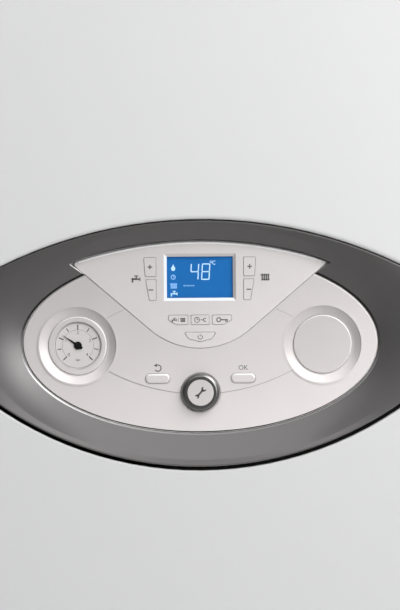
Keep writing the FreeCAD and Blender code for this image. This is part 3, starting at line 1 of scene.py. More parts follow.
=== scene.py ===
import bpy
import json
import math
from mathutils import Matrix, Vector


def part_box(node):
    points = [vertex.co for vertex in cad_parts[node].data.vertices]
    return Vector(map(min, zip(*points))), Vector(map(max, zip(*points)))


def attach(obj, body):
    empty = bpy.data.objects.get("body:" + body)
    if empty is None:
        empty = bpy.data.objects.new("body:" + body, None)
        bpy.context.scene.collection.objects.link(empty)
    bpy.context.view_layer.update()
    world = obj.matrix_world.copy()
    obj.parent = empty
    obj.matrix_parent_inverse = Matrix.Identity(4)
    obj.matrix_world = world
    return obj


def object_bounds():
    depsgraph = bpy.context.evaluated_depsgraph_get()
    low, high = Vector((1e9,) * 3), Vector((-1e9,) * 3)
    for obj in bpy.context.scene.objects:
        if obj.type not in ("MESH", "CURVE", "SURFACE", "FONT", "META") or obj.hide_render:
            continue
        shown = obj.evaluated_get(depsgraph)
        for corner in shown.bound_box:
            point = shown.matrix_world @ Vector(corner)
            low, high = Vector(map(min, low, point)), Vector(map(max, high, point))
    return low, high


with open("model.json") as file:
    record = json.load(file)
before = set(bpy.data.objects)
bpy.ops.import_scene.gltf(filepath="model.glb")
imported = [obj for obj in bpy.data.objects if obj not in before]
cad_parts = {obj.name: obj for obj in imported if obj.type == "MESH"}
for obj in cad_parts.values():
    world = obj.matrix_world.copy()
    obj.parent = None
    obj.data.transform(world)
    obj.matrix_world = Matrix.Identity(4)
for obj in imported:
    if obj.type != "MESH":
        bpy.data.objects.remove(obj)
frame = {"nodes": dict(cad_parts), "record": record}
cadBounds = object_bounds()
nodes = frame["nodes"]
print("boiler frame loaded:", len(nodes), "nodes")

# where the panel sits in the boiler, in millimetres
millimetre = 0.001
perMetre = 1000
panel = {"depth": 465.0, "centreHeight": 280.0, "hangHeight": 820.0}
panelCentre = (panel["centreHeight"] - panel["hangHeight"]) * millimetre


# shader helpers: a value is a plain number, colour or vector, or the socket that gives it
def feed(tree, socket, value):
    if isinstance(value, bpy.types.NodeSocket):
        tree.links.new(value, socket)
    else:
        socket.default_value = value


def addNode(tree, kind, **values):
    node = tree.nodes.new(kind)
    for key, value in values.items():
        if hasattr(node, key):
            setattr(node, key, value)
        else:
            feed(tree, node.inputs[key], value)
    return node


def mathNode(tree, operation, *values):
    node = addNode(tree, "ShaderNodeMath", operation=operation)
    for socket, value in zip(node.inputs, values):
        feed(tree, socket, value)
    return node.outputs[0]


def vectorNode(tree, operation, *values):
    node = addNode(tree, "ShaderNodeVectorMath", operation=operation)
    for socket, value in zip(node.inputs, values):
        feed(tree, socket, value)
    return node.outputs["Value" if operation in ("LENGTH", "DOT_PRODUCT") else "Vector"]


def scaled(tree, vector, gain):
    node = addNode(tree, "ShaderNodeVectorMath", operation="SCALE", Scale=gain)
    feed(tree, node.inputs[0], vector)
    return node.outputs[0]


def mixNode(tree, kind, factor, first, second):
    node = addNode(tree, "ShaderNodeMix", data_type=kind, Factor=factor, A=first, B=second)
    return node.outputs["Result"]


def rangeNode(tree, value, low, high, toLow=0.0, toHigh=1.0, way="LINEAR"):
    limits = {"From Min": low, "From Max": high, "To Min": toLow, "To Max": toHigh}
    return addNode(tree, "ShaderNodeMapRange", interpolation_type=way, Value=value, **limits).outputs[0]


def newGroup(name, ins, outs):
    tree = bpy.data.node_groups.new(name, "ShaderNodeTree")
    for label, kind, value in ins:
        tree.interface.new_socket(name=label, in_out="INPUT", socket_type=kind).default_value = value
    for label, kind in outs:
        tree.interface.new_socket(name=label, in_out="OUTPUT", socket_type=kind)
    return tree, tree.nodes.new("NodeGroupInput"), tree.nodes.new("NodeGroupOutput")


# cloudy change of tone over a surface
clouding = {"detail": 4.0, "rough": 0.55}


def mottleGroup():
    tree, start, end = newGroup(
        "cloudy tone",
        [("Color", "NodeSocketColor", (0.5, 0.5, 0.5, 1)), ("Scale", "NodeSocketFloat", 12.0),
         ("Amount", "NodeSocketFloat", 0.04)],
        [("Color", "NodeSocketColor"), ("Value", "NodeSocketFloat")])
    place = addNode(tree, "ShaderNodeTexCoord")
    cloud = addNode(tree, "ShaderNodeTexNoise", Vector=place.outputs["Object"], Scale=start.outputs["Scale"],
                    Detail=clouding["detail"], Roughness=clouding["rough"])
    centred = mathNode(tree, "SUBTRACT", cloud.outputs[0], 0.5)
    swing = mathNode(tree, "MULTIPLY", centred, start.outputs["Amount"])
    gain = mathNode(tree, "ADD", mathNode(tree, "MULTIPLY", swing, 2.0), 1.0)
    feed(tree, end.inputs["Color"], scaled(tree, start.outputs["Color"], gain))
    feed(tree, end.inputs["Value"], cloud.outputs[0])
    return tree


# relief of paint, moulded plastic and castings, and brushed lines that run along X
reliefs = {
    "grain": {"name": "fine grain", "stretch": (1.0, 1.0, 1.0), "detail": 2.0, "deep": 0.0004},
    "brush": {"name": "brushed lines", "stretch": (0.02, 1.0, 1.0), "detail": 3.0, "deep": 0.0003},
}


def reliefGroup(values):
    tree, start, end = newGroup(
        values["name"],
        [("Scale", "NodeSocketFloat", 900.0), ("Strength", "NodeSocketFloat", 0.05)],
        [("Normal", "NodeSocketVector")])
    place = addNode(tree, "ShaderNodeTexCoord")
    stretch = addNode(tree, "ShaderNodeMapping", Vector=place.outputs["Object"], Scale=values["stretch"])
    lines = addNode(tree, "ShaderNodeTexNoise", Vector=stretch.outputs[0], Scale=start.outputs["Scale"],
                    Detail=values["detail"])
    bump = addNode(tree, "ShaderNodeBump", Strength=start.outputs["Strength"], Distance=values["deep"],
                   Height=lines.outputs[0])
    feed(tree, end.inputs["Normal"], bump.outputs[0])
    return tree


# thin dust that lies on faces turned upwards
dusting = {"color": (0.42, 0.40, 0.37, 1), "patches": 18.0, "detail": 5.0, "settle": 3.0}


def dustGroup():
    tree, start, end = newGroup(
        "settled dust",
        [("Color", "NodeSocketColor", (0.5, 0.5, 0.5, 1)), ("Amount", "NodeSocketFloat", 0.1)],
        [("Color", "NodeSocketColor")])
    shape = addNode(tree, "ShaderNodeNewGeometry")
    turn = addNode(tree, "ShaderNodeSeparateXYZ", Vector=shape.outputs["Normal"])
    place = addNode(tree, "ShaderNodeTexCoord")
    patch = addNode(tree, "ShaderNodeTexNoise", Vector=place.outputs["Object"], Scale=dusting["patches"],
                    Detail=dusting["detail"])
    flat = mathNode(tree, "POWER", mathNode(tree, "MAXIMUM", turn.outputs["Z"], 0.0), dusting["settle"])
    mask = mathNode(tree, "MULTIPLY", mathNode(tree, "MULTIPLY", flat, patch.outputs[0]), start.outputs["Amount"])
    feed(tree, end.inputs["Color"], mixNode(tree, "RGBA", mask, start.outputs["Color"], dusting["color"]))
    return tree


# painted sheen on satin faces: the colour is made lighter towards the foot of the panel, standing in for the light that
# the lower part catches
paintedSheenFade = {"top": -0.45, "foot": -0.63, "topGain": -0.9, "footGain": 1.0}


def paintedSheenGroup():
    tree, start, end = newGroup(
        "painted sheen lighter downwards",
        [("Color", "NodeSocketColor", (0.5, 0.5, 0.5, 1)), ("Amount", "NodeSocketFloat", 0.1)],
        [("Color", "NodeSocketColor")])
    place = addNode(tree, "ShaderNodeTexCoord")
    spot = addNode(tree, "ShaderNodeSeparateXYZ", Vector=place.outputs["Object"])
    run = rangeNode(tree, spot.outputs["Z"], paintedSheenFade["top"], paintedSheenFade["foot"], paintedSheenFade["topGain"], paintedSheenFade["footGain"])
    gain = mathNode(tree, "ADD", mathNode(tree, "MULTIPLY", run, start.outputs["Amount"]), 1.0)
    feed(tree, end.inputs["Color"], scaled(tree, start.outputs["Color"], gain))
    return tree


# how far out a place lies on the panel: one on an ellipse about the fascia's centre
def reachGroup():
    tree, start, end = newGroup(
        "reach on the panel",
        [("Wide", "NodeSocketFloat", 0.2), ("High", "NodeSocketFloat", 0.1)],
        [("Reach", "NodeSocketFloat")])
    place = addNode(tree, "ShaderNodeTexCoord")
    spot = addNode(tree, "ShaderNodeSeparateXYZ", Vector=place.outputs["Object"])
    rise = mathNode(tree, "SUBTRACT", spot.outputs["Z"], panelCentre)
    across = mathNode(tree, "DIVIDE", spot.outputs["X"], start.outputs["Wide"])
    along = mathNode(tree, "DIVIDE", rise, start.outputs["High"])
    total = mathNode(tree, "ADD", mathNode(tree, "POWER", across, 2.0), mathNode(tree, "POWER", along, 2.0))
    feed(tree, end.inputs["Reach"], mathNode(tree, "SQRT", total))
    return tree


# mask of the sloping faces that look one way
def edgeGroup():
    tree, start, end = newGroup(
        "edges that look one way",
        [("Toward", "NodeSocketVector", (0, 0, 1)), ("Low", "NodeSocketFloat", 0.0), ("High", "NodeSocketFloat", 0.3),
         ("Steep", "NodeSocketFloat", 0.9)],
        [("Mask", "NodeSocketFloat")])
    place = addNode(tree, "ShaderNodeTexCoord")
    turn = addNode(tree, "ShaderNodeSeparateXYZ", Vector=place.outputs["Normal"])
    lean = vectorNode(tree, "DOT_PRODUCT", place.outputs["Normal"], start.outputs["Toward"])
    side = rangeNode(tree, lean, start.outputs["Low"], start.outputs["High"])
    facing = mathNode(tree, "MULTIPLY", turn.outputs["Y"], -1.0)
    steep = mathNode(tree, "LESS_THAN", facing, start.outputs["Steep"])
    feed(tree, end.inputs["Mask"], mathNode(tree, "MULTIPLY", steep, side))
    return tree


groups = {"mottle": mottleGroup(), "dust": dustGroup(), "paintedSheen": paintedSheenGroup(), "edge": edgeGroup(), "reach": reachGroup()}
groups.update({kind: reliefGroup(values) for kind, values in reliefs.items()})


def useGroup(tree, name, **values):
    return addNode(tree, "ShaderNodeGroup", node_tree=groups[name], **values)


# one surface finish: these values, with those of the finish in their place
plainFinish = {"cloud": 9.0, "vary": 0.03, "paintedSheen": 0.0, "dust": 0.1, "roughSpread": 0.05, "brushed": False,
               "grain": 900.0, "relief": 0.04, "metal": 0.0, "specular": 0.5, "coat": 0.0, "coatRough": 0.15,
               "alpha": 1.0, "glow": 0.0}


def makeFinish(name, changes):
    values = dict(plainFinish, **changes)
    mat = bpy.data.materials.new(name)
    mat.use_nodes = True
    tree = mat.node_tree
    sockets = tree.nodes["Principled BSDF"].inputs
    tone = useGroup(tree, "mottle", Color=(*values["color"], 1), Scale=values["cloud"], Amount=values["vary"])
    paint = tone.outputs["Color"]
    # painted sheen: the colour made lighter towards the foot of the panel
    if values["paintedSheen"]:
        paint = useGroup(tree, "paintedSheen", Color=paint, Amount=values["paintedSheen"]).outputs["Color"]
    dust = useGroup(tree, "dust", Color=paint, Amount=values["dust"])
    feed(tree, sockets["Base Color"], dust.outputs["Color"])
    swing = mathNode(tree, "MULTIPLY", tone.outputs["Value"], values["roughSpread"])
    smoothest = values["rough"] - values["roughSpread"] / 2
    feed(tree, sockets["Roughness"], mathNode(tree, "ADD", swing, smoothest))
    if values["relief"]:
        kind = "brush" if values["brushed"] else "grain"
        relief = useGroup(tree, kind, Scale=values["grain"], Strength=values["relief"])
        feed(tree, sockets["Normal"], relief.outputs["Normal"])
    sockets["Metallic"].default_value = values["metal"]
    sockets["Specular IOR Level"].default_value = values["specular"]
    sockets["Coat Weight"].default_value = values["coat"]
    sockets["Coat Roughness"].default_value = values["coatRough"]
    sockets["Alpha"].default_value = values["alpha"]
    if values["glow"]:
        feed(tree, sockets["Emission Color"], tone.outputs["Color"])
        sockets["Emission Strength"].default_value = values["glow"]
    return mat


# finishes by the part they are made for, each a set of values to change
finishes = {
    "casing_white": {"color": (0.685, 0.687, 0.691), "rough": 0.38, "vary": 0.012, "cloud": 4.0, "coat": 0.15,
                     "grain": 420.0, "relief": 0.03, "dust": 0.06},
    "galvanised": {"color": (0.56, 0.58, 0.60), "rough": 0.42, "metal": 0.9, "vary": 0.10, "cloud": 45.0,
                   "roughSpread": 0.2, "brushed": True, "relief": 0.05},
    "flue_white": {"color": (0.70, 0.70, 0.69), "rough": 0.42, "vary": 0.02, "cloud": 14.0},
    "black_plastic": {"color": (0.012, 0.012, 0.013), "rough": 0.55, "vary": 0.15, "relief": 0.12, "grain": 1500.0},
    # the bezel, fascia, shield and key finishes carry a painted sheen that turns lighter towards the foot
    "bezel_grey": {"color": (0.138, 0.133, 0.133), "rough": 0.36, "metal": 0.65, "vary": 0.02, "cloud": 30.0,
                   "relief": 0.0, "dust": 0.03, "paintedSheen": 0.14},
    "fascia_silver": {"color": (0.697, 0.661, 0.655), "rough": 0.42, "metal": 0.35, "vary": 0.015, "cloud": 26.0,
                      "relief": 0.015, "grain": 2200.0, "dust": 0.03, "paintedSheen": 0.25},
    "knob_grey": {"color": (0.164, 0.158, 0.158), "rough": 0.30, "metal": 0.9, "vary": 0.04, "coat": 0.2, "dust": 0.0},
    "clear": {"color": (0.03, 0.03, 0.032), "rough": 0.06, "alpha": 0.03, "roughSpread": 0.02, "vary": 0.01,
              "relief": 0.004, "dust": 0.0},
    "lcd_blue": {"color": (0.0115, 0.141, 0.43), "rough": 0.30, "vary": 0.05, "cloud": 22.0, "glow": 0.2,
                 "specular": 0.2, "dust": 0.0},
    "board_green": {"color": (0.02, 0.13, 0.06), "rough": 0.35, "vary": 0.2, "cloud": 120.0},
    "dial_face": {"color": (0.705, 0.67, 0.667), "rough": 0.6, "vary": 0.02, "cloud": 60.0, "dust": 0.0},
    "needle_dark": {"color": (0.006, 0.006, 0.007), "rough": 0.45, "specular": 0.12, "vary": 0.1, "cloud": 200.0,
                    "dust": 0.0},
    "moving_plastic": {"color": (0.62, 0.61, 0.57), "rough": 0.5, "vary": 0.05, "cloud": 40.0},
    "stainless": {"color": (0.62, 0.62, 0.63), "rough": 0.28, "metal": 1.0, "vary": 0.05, "brushed": True},
    "vessel_red": {"color": (0.30, 0.016, 0.012), "rough": 0.35, "vary": 0.06, "coat": 0.3, "cloud": 14.0},
    "cast_aluminium": {"color": (0.50, 0.51, 0.52), "rough": 0.5, "metal": 1.0, "vary": 0.1, "cloud": 60.0,
                       "relief": 0.25, "grain": 700.0},
    "motor_black": {"color": (0.016, 0.016, 0.018), "rough": 0.4, "vary": 0.1, "cloud": 40.0},
    "copper": {"color": (0.62, 0.26, 0.13), "rough": 0.3, "metal": 1.0, "vary": 0.14, "cloud": 35.0,
               "roughSpread": 0.15},
    "brass": {"color": (0.60, 0.42, 0.16), "rough": 0.3, "metal": 1.0, "vary": 0.08, "cloud": 50.0},
    "pump_iron": {"color": (0.055, 0.055, 0.06), "rough": 0.55, "metal": 0.4, "vary": 0.15, "relief": 0.3,
                  "grain": 600.0},
    "trap_grey": {"color": (0.42, 0.42, 0.41), "rough": 0.45, "vary": 0.05, "cloud": 30.0},
    "relief_red": {"color": (0.42, 0.012, 0.012), "rough": 0.4, "vary": 0.05, "cloud": 50.0},
}
materials = {slot: makeFinish(slot.replace("_", " "), values) for slot, values in finishes.items()}

# silver pieces that differ from the fascia in tone, or that carry their own painted highlights and painted shade at the
# edges
silvers = {
    "shield silver": {"color": (0.757, 0.72, 0.715), "paintedSheen": 0.13},
    "key silver": {"color": (0.757, 0.72, 0.715), "paintedSheen": 0.13},
    "satin silver": {"color": (0.605, 0.575, 0.57)},
    "blank silver": {"color": (0.605, 0.575, 0.57)},
    "gauge silver": {},
    "pill silver": {},
}
for name, changes in silvers.items():
    materials[name] = makeFinish(name, dict(finishes["fascia_silver"], **changes))


# painted light and shade at edges of the panel: faces that look one way are coloured brighter, standing in for light
# they would catch, or darker, standing in for shade
def addPaintedEdgeLight(mat, values):
    tree = mat.node_tree
    sockets = tree.nodes["Principled BSDF"].inputs
    mask = useGroup(tree, "edge", Toward=values["toward"], Low=values["low"], High=values["high"],
                    Steep=values["steep"]).outputs["Mask"]
    for key, side in (("within", "LESS_THAN"), ("beyond", "GREATER_THAN")):
        if key in values:
            wide, high = values[key]
            zone = useGroup(tree, "reach", Wide=wide, High=high)
            mask = mathNode(tree, "MULTIPLY", mask, mathNode(tree, side, zone.outputs["Reach"], 1.0))
    paint = sockets["Base Color"].links[0].from_socket
    feed(tree, sockets["Base Color"], mixNode(tree, "RGBA", mask, paint, (*values["color"], 1)))
    if "matte" in values:
        bare = mathNode(tree, "SUBTRACT", 1.0, mask)
        feed(tree, sockets["Metallic"], mathNode(tree, "MULTIPLY", bare, sockets["Metallic"].default_value))


# half width and half height of the ellipses that part one edge from the next
lipRing = (0.1797, 0.0910)
dishRing = (0.2237, 0.118)
fasciaRing = (0.1766, 0.0879)
cupRing = (0.1768, 0.0881)
# painted highlight: near-white rims on the steep faces of the blank disc and the gauge case
paintedRimLight = {"color": (0.93, 0.91, 0.91), "toward": (0.0, -1.0, 0.0), "low": -1.0, "high": -0.9, "steep": 0.97}
# painted highlights and painted shade: each entry recolours the faces that look one way, lighter or darker
paintedEdgeLight = {
    "bezel_grey": {
        # painted highlight on the lip that faces the light, painted shadow at the lip's foot, painted shade on the lip
        # that looks down
        "lip that looks up": {"color": (0.39, 0.385, 0.385), "toward": (0.2, 0.0, 1.0), "low": -0.1, "high": 0.2,
                              "steep": 0.88, "within": dishRing, "beyond": lipRing},
        "foot of the lip": {"color": (0.026, 0.026, 0.026), "toward": (0.0, -1.0, 0.0), "low": 0.0, "high": 0.1,
                            "steep": 0.88, "within": lipRing},
        "lip that looks down": {"color": (0.008, 0.008, 0.008), "toward": (0.0, 0.0, -1.0), "low": 0.05, "high": 0.35,
                                "steep": 0.88, "within": dishRing},
        # painted light on the bezel's outer edge that looks down into the shaded gap
        "outer edge that looks down": {"color": (0.24, 0.235, 0.235), "toward": (0.0, 0.0, -1.0), "low": 0.05,
                                       "high": 0.3, "steep": 0.9, "beyond": dishRing},
        # painted highlight: the wall at the shield's corner coloured near white and made matte
        "wall at the shield's corner": {"color": (0.98, 0.98, 0.98), "toward": (0.65, 0.0, 0.76), "low": 0.75,
                                        "high": 0.85, "steep": 0.6, "within": dishRing, "matte": True},
    },
    "fascia_silver": {
        # painted shade on the fascia's edge that looks down and on the side of the dishes turned from the light
        "edge that looks down": {"color": (0.04, 0.04, 0.04), "toward": (-0.45, 0.0, -0.9), "low": 0.1, "high": 0.35,
                                 "steep": 0.96, "beyond": fasciaRing},
        "shaded side of the dishes": {"color": (0.56, 0.533, 0.53), "toward": (-0.7, 0.0, -0.7), "low": 0.1,
                                      "high": 0.36, "steep": 0.95, "within": cupRing},
    },
    "shield silver": {
        # painted highlight on the shield's edges that look up
        "edge that looks up": {"color": (0.88, 0.92, 0.97), "toward": (0.6, 0.0, 0.8), "low": 0.05, "high": 0.25,
                               "steep": 0.97},
    },
    "key silver": {
        # painted shade on the walls of the step keys, darkening their outlines
        "edge all round": {"color": (0.355, 0.337, 0.334), "toward": (0.0, -1.0, 0.0), "low": -1.0, "high": -0.9,
                           "steep": 0.93},
    },
    "blank silver": {"rim all round": paintedRimLight},
    "gauge silver": {"rim all round": paintedRimLight},
    "pill silver": {
        # painted highlight on the upper edges of the pill keys
        "edge that looks up": {"color": (0.95, 0.94, 0.94), "toward": (-0.3, 0.0, 1.0), "low": -0.1, "high": 0.3,
                               "steep": 0.97},
    },
    "knob_grey": {
        # painted highlight on the part of the knob's round that looks up and to the right
        "round that looks up": {"color": (0.34, 0.33, 0.33), "toward": (0.35, -0.71, 0.61), "low": 0.8, "high": 0.97,
                                "steep": 0.97},
    },
}
# lay the painted light and shade over each finish's own colour
for name, edges in paintedEdgeLight.items():
    for values in edges.values():
        addPaintedEdgeLight(materials[name], values)

# the dish of the bezel turns gently at its knee: each side leans towards the other's slope there
knee = {"wide": 0.2147, "high": 0.117, "spread": 0.15, "most": 0.5, "drop": 0.009, "run": (0.0334, 0.0, 0.0244),
        "outerSlope": 0.04, "endsFrom": 0.09, "endsTo": 0.16, "facing": 0.8}


def softenKnee(mat):
    tree = mat.node_tree
    place = addNode(tree, "ShaderNodeTexCoord")
    spot = addNode(tree, "ShaderNodeSeparateXYZ", Vector=place.outputs["Object"])
    turn = addNode(tree, "ShaderNodeSeparateXYZ", Vector=place.outputs["Normal"])
    reach = useGroup(tree, "reach", Wide=knee["wide"], High=knee["high"]).outputs["Reach"]
    # the way that a face on the other side of the knee would look
    rise = mathNode(tree, "SUBTRACT", spot.outputs["Z"], panelCentre)
    pull = addNode(tree, "ShaderNodeCombineXYZ", X=mathNode(tree, "DIVIDE", spot.outputs["X"], knee["wide"] ** 2),
                   Z=mathNode(tree, "DIVIDE", rise, knee["high"] ** 2))
    outward = vectorNode(tree, "NORMALIZE", pull.outputs[0])
    run = vectorNode(tree, "LENGTH", vectorNode(tree, "MULTIPLY", outward, knee["run"]))
    innerSlope = mathNode(tree, "DIVIDE", knee["drop"], run)
    outside = mathNode(tree, "GREATER_THAN", reach, 1.0)
    slope = mixNode(tree, "FLOAT", outside, knee["outerSlope"], innerSlope)
    lean = vectorNode(tree, "SUBTRACT", (0.0, -1.0, 0.0), scaled(tree, outward, slope))
    otherSide = vectorNode(tree, "NORMALIZE", lean)
    # most at the knee, and only on front faces towards the two ends
    away = mathNode(tree, "ABSOLUTE", mathNode(tree, "SUBTRACT", reach, 1.0))
    aside = mathNode(tree, "ABSOLUTE", spot.outputs["X"])
    near = rangeNode(tree, away, knee["spread"], 0.0, 0.0, knee["most"], "SMOOTHSTEP")
    ends = rangeNode(tree, aside, knee["endsFrom"], knee["endsTo"], way="SMOOTHSTEP")
    front = mathNode(tree, "LESS_THAN", turn.outputs["Y"], -knee["facing"])
    share = mathNode(tree, "MULTIPLY", mathNode(tree, "MULTIPLY", near, ends), front)
    turned = mixNode(tree, "VECTOR", share, place.outputs["Normal"], otherSide)
    shown = addNode(tree, "ShaderNodeVectorTransform", vector_type="NORMAL", convert_from="OBJECT",
                    convert_to="WORLD", Vector=turned)
    feed(tree, tree.nodes["Principled BSDF"].inputs["Normal"], shown.outputs[0])


softenKnee(materials["bezel_grey"])

# every piece takes the finish of its slot, and the silver pieces their own
silverPieces = {"display_shield": "shield silver", "knob_cap": "satin silver", "timer_blank": "blank silver",
                "gauge_case": "gauge silver", "return_key": "pill silver", "confirm_key": "pill silver"}
for kind in ("water_plus", "water_minus", "heating_plus", "heating_minus", "left_mode", "middle_mode", "right_mode",
             "power"):
    silverPieces[kind + "_key"] = "key silver"
for part in frame["record"]["subparts"]:
    data = nodes[part["node"]].data
    data.materials.clear()
    data.materials.append(materials[silverPieces.get(part["node"], part["material_slot"])])
print("finishes put on:", len(materials))


# places on the panel: u right and v up from the fascia's centre, d behind the casing's front, in millimetres
def onPanel(u, v, d):
    return Vector((u, d - panel["depth"], panel["centreHeight"] - panel["hangHeight"] + v)) * millimetre


def frontOf(node):
    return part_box(node)[0].y * perMetre + panel["depth"]


def middleOf(node):
    low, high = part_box(node)
    mid = (low + high) * (perMetre / 2)
    return mid.x, mid.z - panel["centreHeight"] + panel["hangHeight"]


# inks for print, and the colours of the painted highlight and painted shade lines
printing = {"thick": 0.08, "lift": 0.02, "curveSteps": 3}
inkAndPaintedLightFinishes = {
    "grey ink": {"color": (0.11, 0.104, 0.104), "rough": 0.5, "vary": 0.08, "cloud": 300.0, "dust": 0.0},
    "black ink": {"color": (0.025, 0.025, 0.027), "rough": 0.5, "vary": 0.08, "cloud": 300.0, "dust": 0.0},
    # painted highlight: near-white line for the shield's top edge
    "painted highlight line": {"color": (0.96, 0.95, 0.95), "rough": 0.4, "vary": 0.02, "cloud": 60.0, "dust": 0.0},
    # painted shade: grey line for the foot of the raised pad
    "shade line": {"color": (0.39, 0.372, 0.37), "rough": 0.5, "vary": 0.04, "cloud": 300.0, "dust": 0.0},
    "lit segment": {"color": (0.48, 0.72, 0.96), "rough": 0.4, "vary": 0.04, "cloud": 300.0, "glow": 0.27,
                    "dust": 0.0},
    "faint segment": {"color": (0.25, 0.50, 0.83), "rough": 0.4, "vary": 0.04, "cloud": 300.0, "glow": 0.3,
                      "dust": 0.0},
}
inksAndPaintedLight = {name: makeFinish(name, values) for name, values in inkAndPaintedLightFinishes.items()}


def placePrintOrPaintedLight(name, mesh, body, ink, place=(0, 0, 0), turn=(0, 0, 0)):
    mesh.materials.clear()
    mesh.materials.append(inksAndPaintedLight[ink])
    piece = bpy.data.objects.new(name, mesh)
    piece.location = place
    piece.rotation_euler = turn
    bpy.context.scene.collection.objects.link(piece)
    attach(piece, body)


# a printed mark, or a painted highlight or painted shade line: flat outlines with a little thickness, all in one mesh
def printOrPaintedLightMark(name, outlines, d, body="control_panel", ink="grey ink"):
    verts = []
    faces = []
    back = d - printing["lift"]
    for loop in outlines:
        n = len(loop)
        base = len(verts)
        verts += [onPanel(u, v, back - printing["thick"]) for u, v in loop]
        verts += [onPanel(u, v, back) for u, v in loop]
        faces.append([base + i for i in range(n)])
        faces.append([base + n + i for i in reversed(range(n))])
        faces += [[base + i, base + n + i, base + n + (i + 1) % n, base + (i + 1) % n] for i in range(n)]
    mesh = bpy.data.meshes.new(name)
    mesh.from_pydata(verts, [], faces)
    placePrintOrPaintedLight(name, mesh, body, ink)


# written numbers and short words
def written(text, height, name, u, v, d):
    curve = bpy.data.curves.new(name, "FONT")
    curve.body = text
    curve.size = height * millimetre
    curve.align_x = "CENTER"
    curve.align_y = "CENTER"
    curve.extrude = printing["thick"] / 2 * millimetre
    curve.resolution_u = printing["curveSteps"]
    source = bpy.data.objects.new(name + "_curve", curve)
    bpy.context.scene.collection.objects.link(source)
    bpy.context.view_layer.update()
    mesh = bpy.data.meshes.new_from_object(source.evaluated_get(bpy.context.evaluated_depsgraph_get()))
    bpy.data.objects.remove(source)
    mesh.name = name
    place = onPanel(u, v, d - printing["lift"] - printing["thick"])
    placePrintOrPaintedLight(name, mesh, "control_panel", "grey ink", place, (math.pi / 2, 0, 0))


# outlines to draw with
def moved(outlines, u, v, size=1.0, lean=0.0):
    return [[(u + size * (p + lean * q), v + size * q) for p, q in loop] for loop in outlines]


def bar(u0, v0, u1, v1):
    return [(u0, v0), (u1, v0), (u1, v1), (u0, v1)]


def stroke(points, width):
    loops = []
    for (u0, v0), (u1, v1) in zip(points, points[1:]):
        run = math.hypot(u1 - u0, v1 - v0)
        du, dv = (u1 - u0) / run * width / 2, (v1 - v0) / run * width / 2
        loops.append([(u0 - du + dv, v0 - dv - du), (u1 + du + dv, v1 + dv - du),
                      (u1 + du - dv, v1 + dv + du), (u0 - du - dv, v0 - dv + du)])
    return loops


def arcPoints(r, start, end, count):
    turns = [math.radians(start + (end - start) * i / count) for i in range(count + 1)]
    return [(r * math.cos(t), r * math.sin(t)) for t in turns]


def ring(r, width, count, start=0.0, end=360.0):
    outer = arcPoints(r + width / 2, start, end, count)
    inner = arcPoints(r - width / 2, start, end, count)
    return [[inner[i], outer[i], outer[i + 1], inner[i + 1]] for i in range(count)]


# shapes of the signs, each about one unit high
tapShape = [bar(-0.15, -0.15, 0.55, 0.1), bar(-0.55, -0.5, -0.3, 0.1), bar(-0.55, -0.12, 0.0, 0.12),
            bar(0.0, 0.1, 0.2, 0.4), bar(-0.2, 0.36, 0.4, 0.5), bar(0.55, -0.3, 0.68, 0.24)]
radiatorShape = [bar(-0.5 + 0.27 * i, -0.45, -0.3 + 0.27 * i, 0.45) for i in range(4)]
radiatorShape += [bar(-0.66, 0.24, 0.6, 0.34), bar(-0.5, -0.34, 0.6, -0.24)]
flameShape = [[(0.0, 0.6), (-0.14, 0.3), (-0.34, 0.0), (-0.32, -0.3), (-0.14, -0.5), (0.14, -0.5), (0.32, -0.3),
               (0.34, 0.0), (0.14, 0.3)]]
minusShape = [bar(-0.5, -0.13, 0.5, 0.13)]
plusShape = minusShape + [bar(-0.13, 0.13, 0.13, 0.5), bar(-0.13, -0.5, 0.13, -0.13)]
powerShape = ring(0.5, 0.16, 24, 130.0, 410.0) + [bar(-0.08, 0.1, 0.08, 0.66)]
clockShape = ring(0.5, 0.13, 24) + stroke([(0.0, 0.32), (0.0, 0.0), (0.26, 0.0)], 0.12)
smallClockShape = ring(0.5, 0.2, 18) + stroke([(0, 0.3), (0, 0), (0.2, 0)], 0.16)
timedHeatShape = moved(clockShape, -0.6, 0.0) + [bar(0.15, -0.08, 0.5, 0.08)]
timedHeatShape += moved(ring(0.3, 0.16, 16, 50.0, 310.0), 0.95, 0.0)
keyShape = ring(0.26, 0.13, 18) + [bar(0.3, -0.07, 1.15, 0.07), bar(0.85, -0.28, 0.97, -0.07),
                                   bar(1.03, -0.28, 1.15, -0.07)]
returnShape = ring(0.5, 0.16, 24, -150.0, 120.0) + [[(-0.62, 0.42), (-0.16, 0.14), (-0.16, 0.7)]]
wrenchShape = stroke([(-0.42, -0.46), (0.34, 0.38)], 0.34) + moved(ring(0.28, 0.24, 16, 100.0, 350.0), 0.5, 0.56)
wrenchShape += moved(ring(0.24, 0.22, 16, -80.0, 170.0), -0.56, -0.62)

# signs on the shield beside the step keys: shape, place and size
shieldFront = frontOf("display_shield")
shieldSigns = {"tap": (tapShape, -64.6, 64.6, 7.2), "radiator": (radiatorShape, 65.8, 65.6, 7.6)}
for name, (shape, u, v, size) in shieldSigns.items():
    printOrPaintedLightMark(name + "_sign", moved(shape, u, v, size), shieldFront)

# painted highlight: a near-white line along the top edge of the shield, standing in for the light its rounded edge
# catches
shieldHighlight = {"r": 403.4, "wide": 1.4, "centre": -303.0, "half": 17.6, "steps": 40}
line = ring(shieldHighlight["r"], shieldHighlight["wide"], shieldHighlight["steps"], 90.0 - shieldHighlight["half"],
            90.0 + shieldHighlight["half"])
printOrPaintedLightMark("shield_painted_highlight", moved(line, 0.0, shieldHighlight["centre"]), shieldFront, ink="painted highlight line")

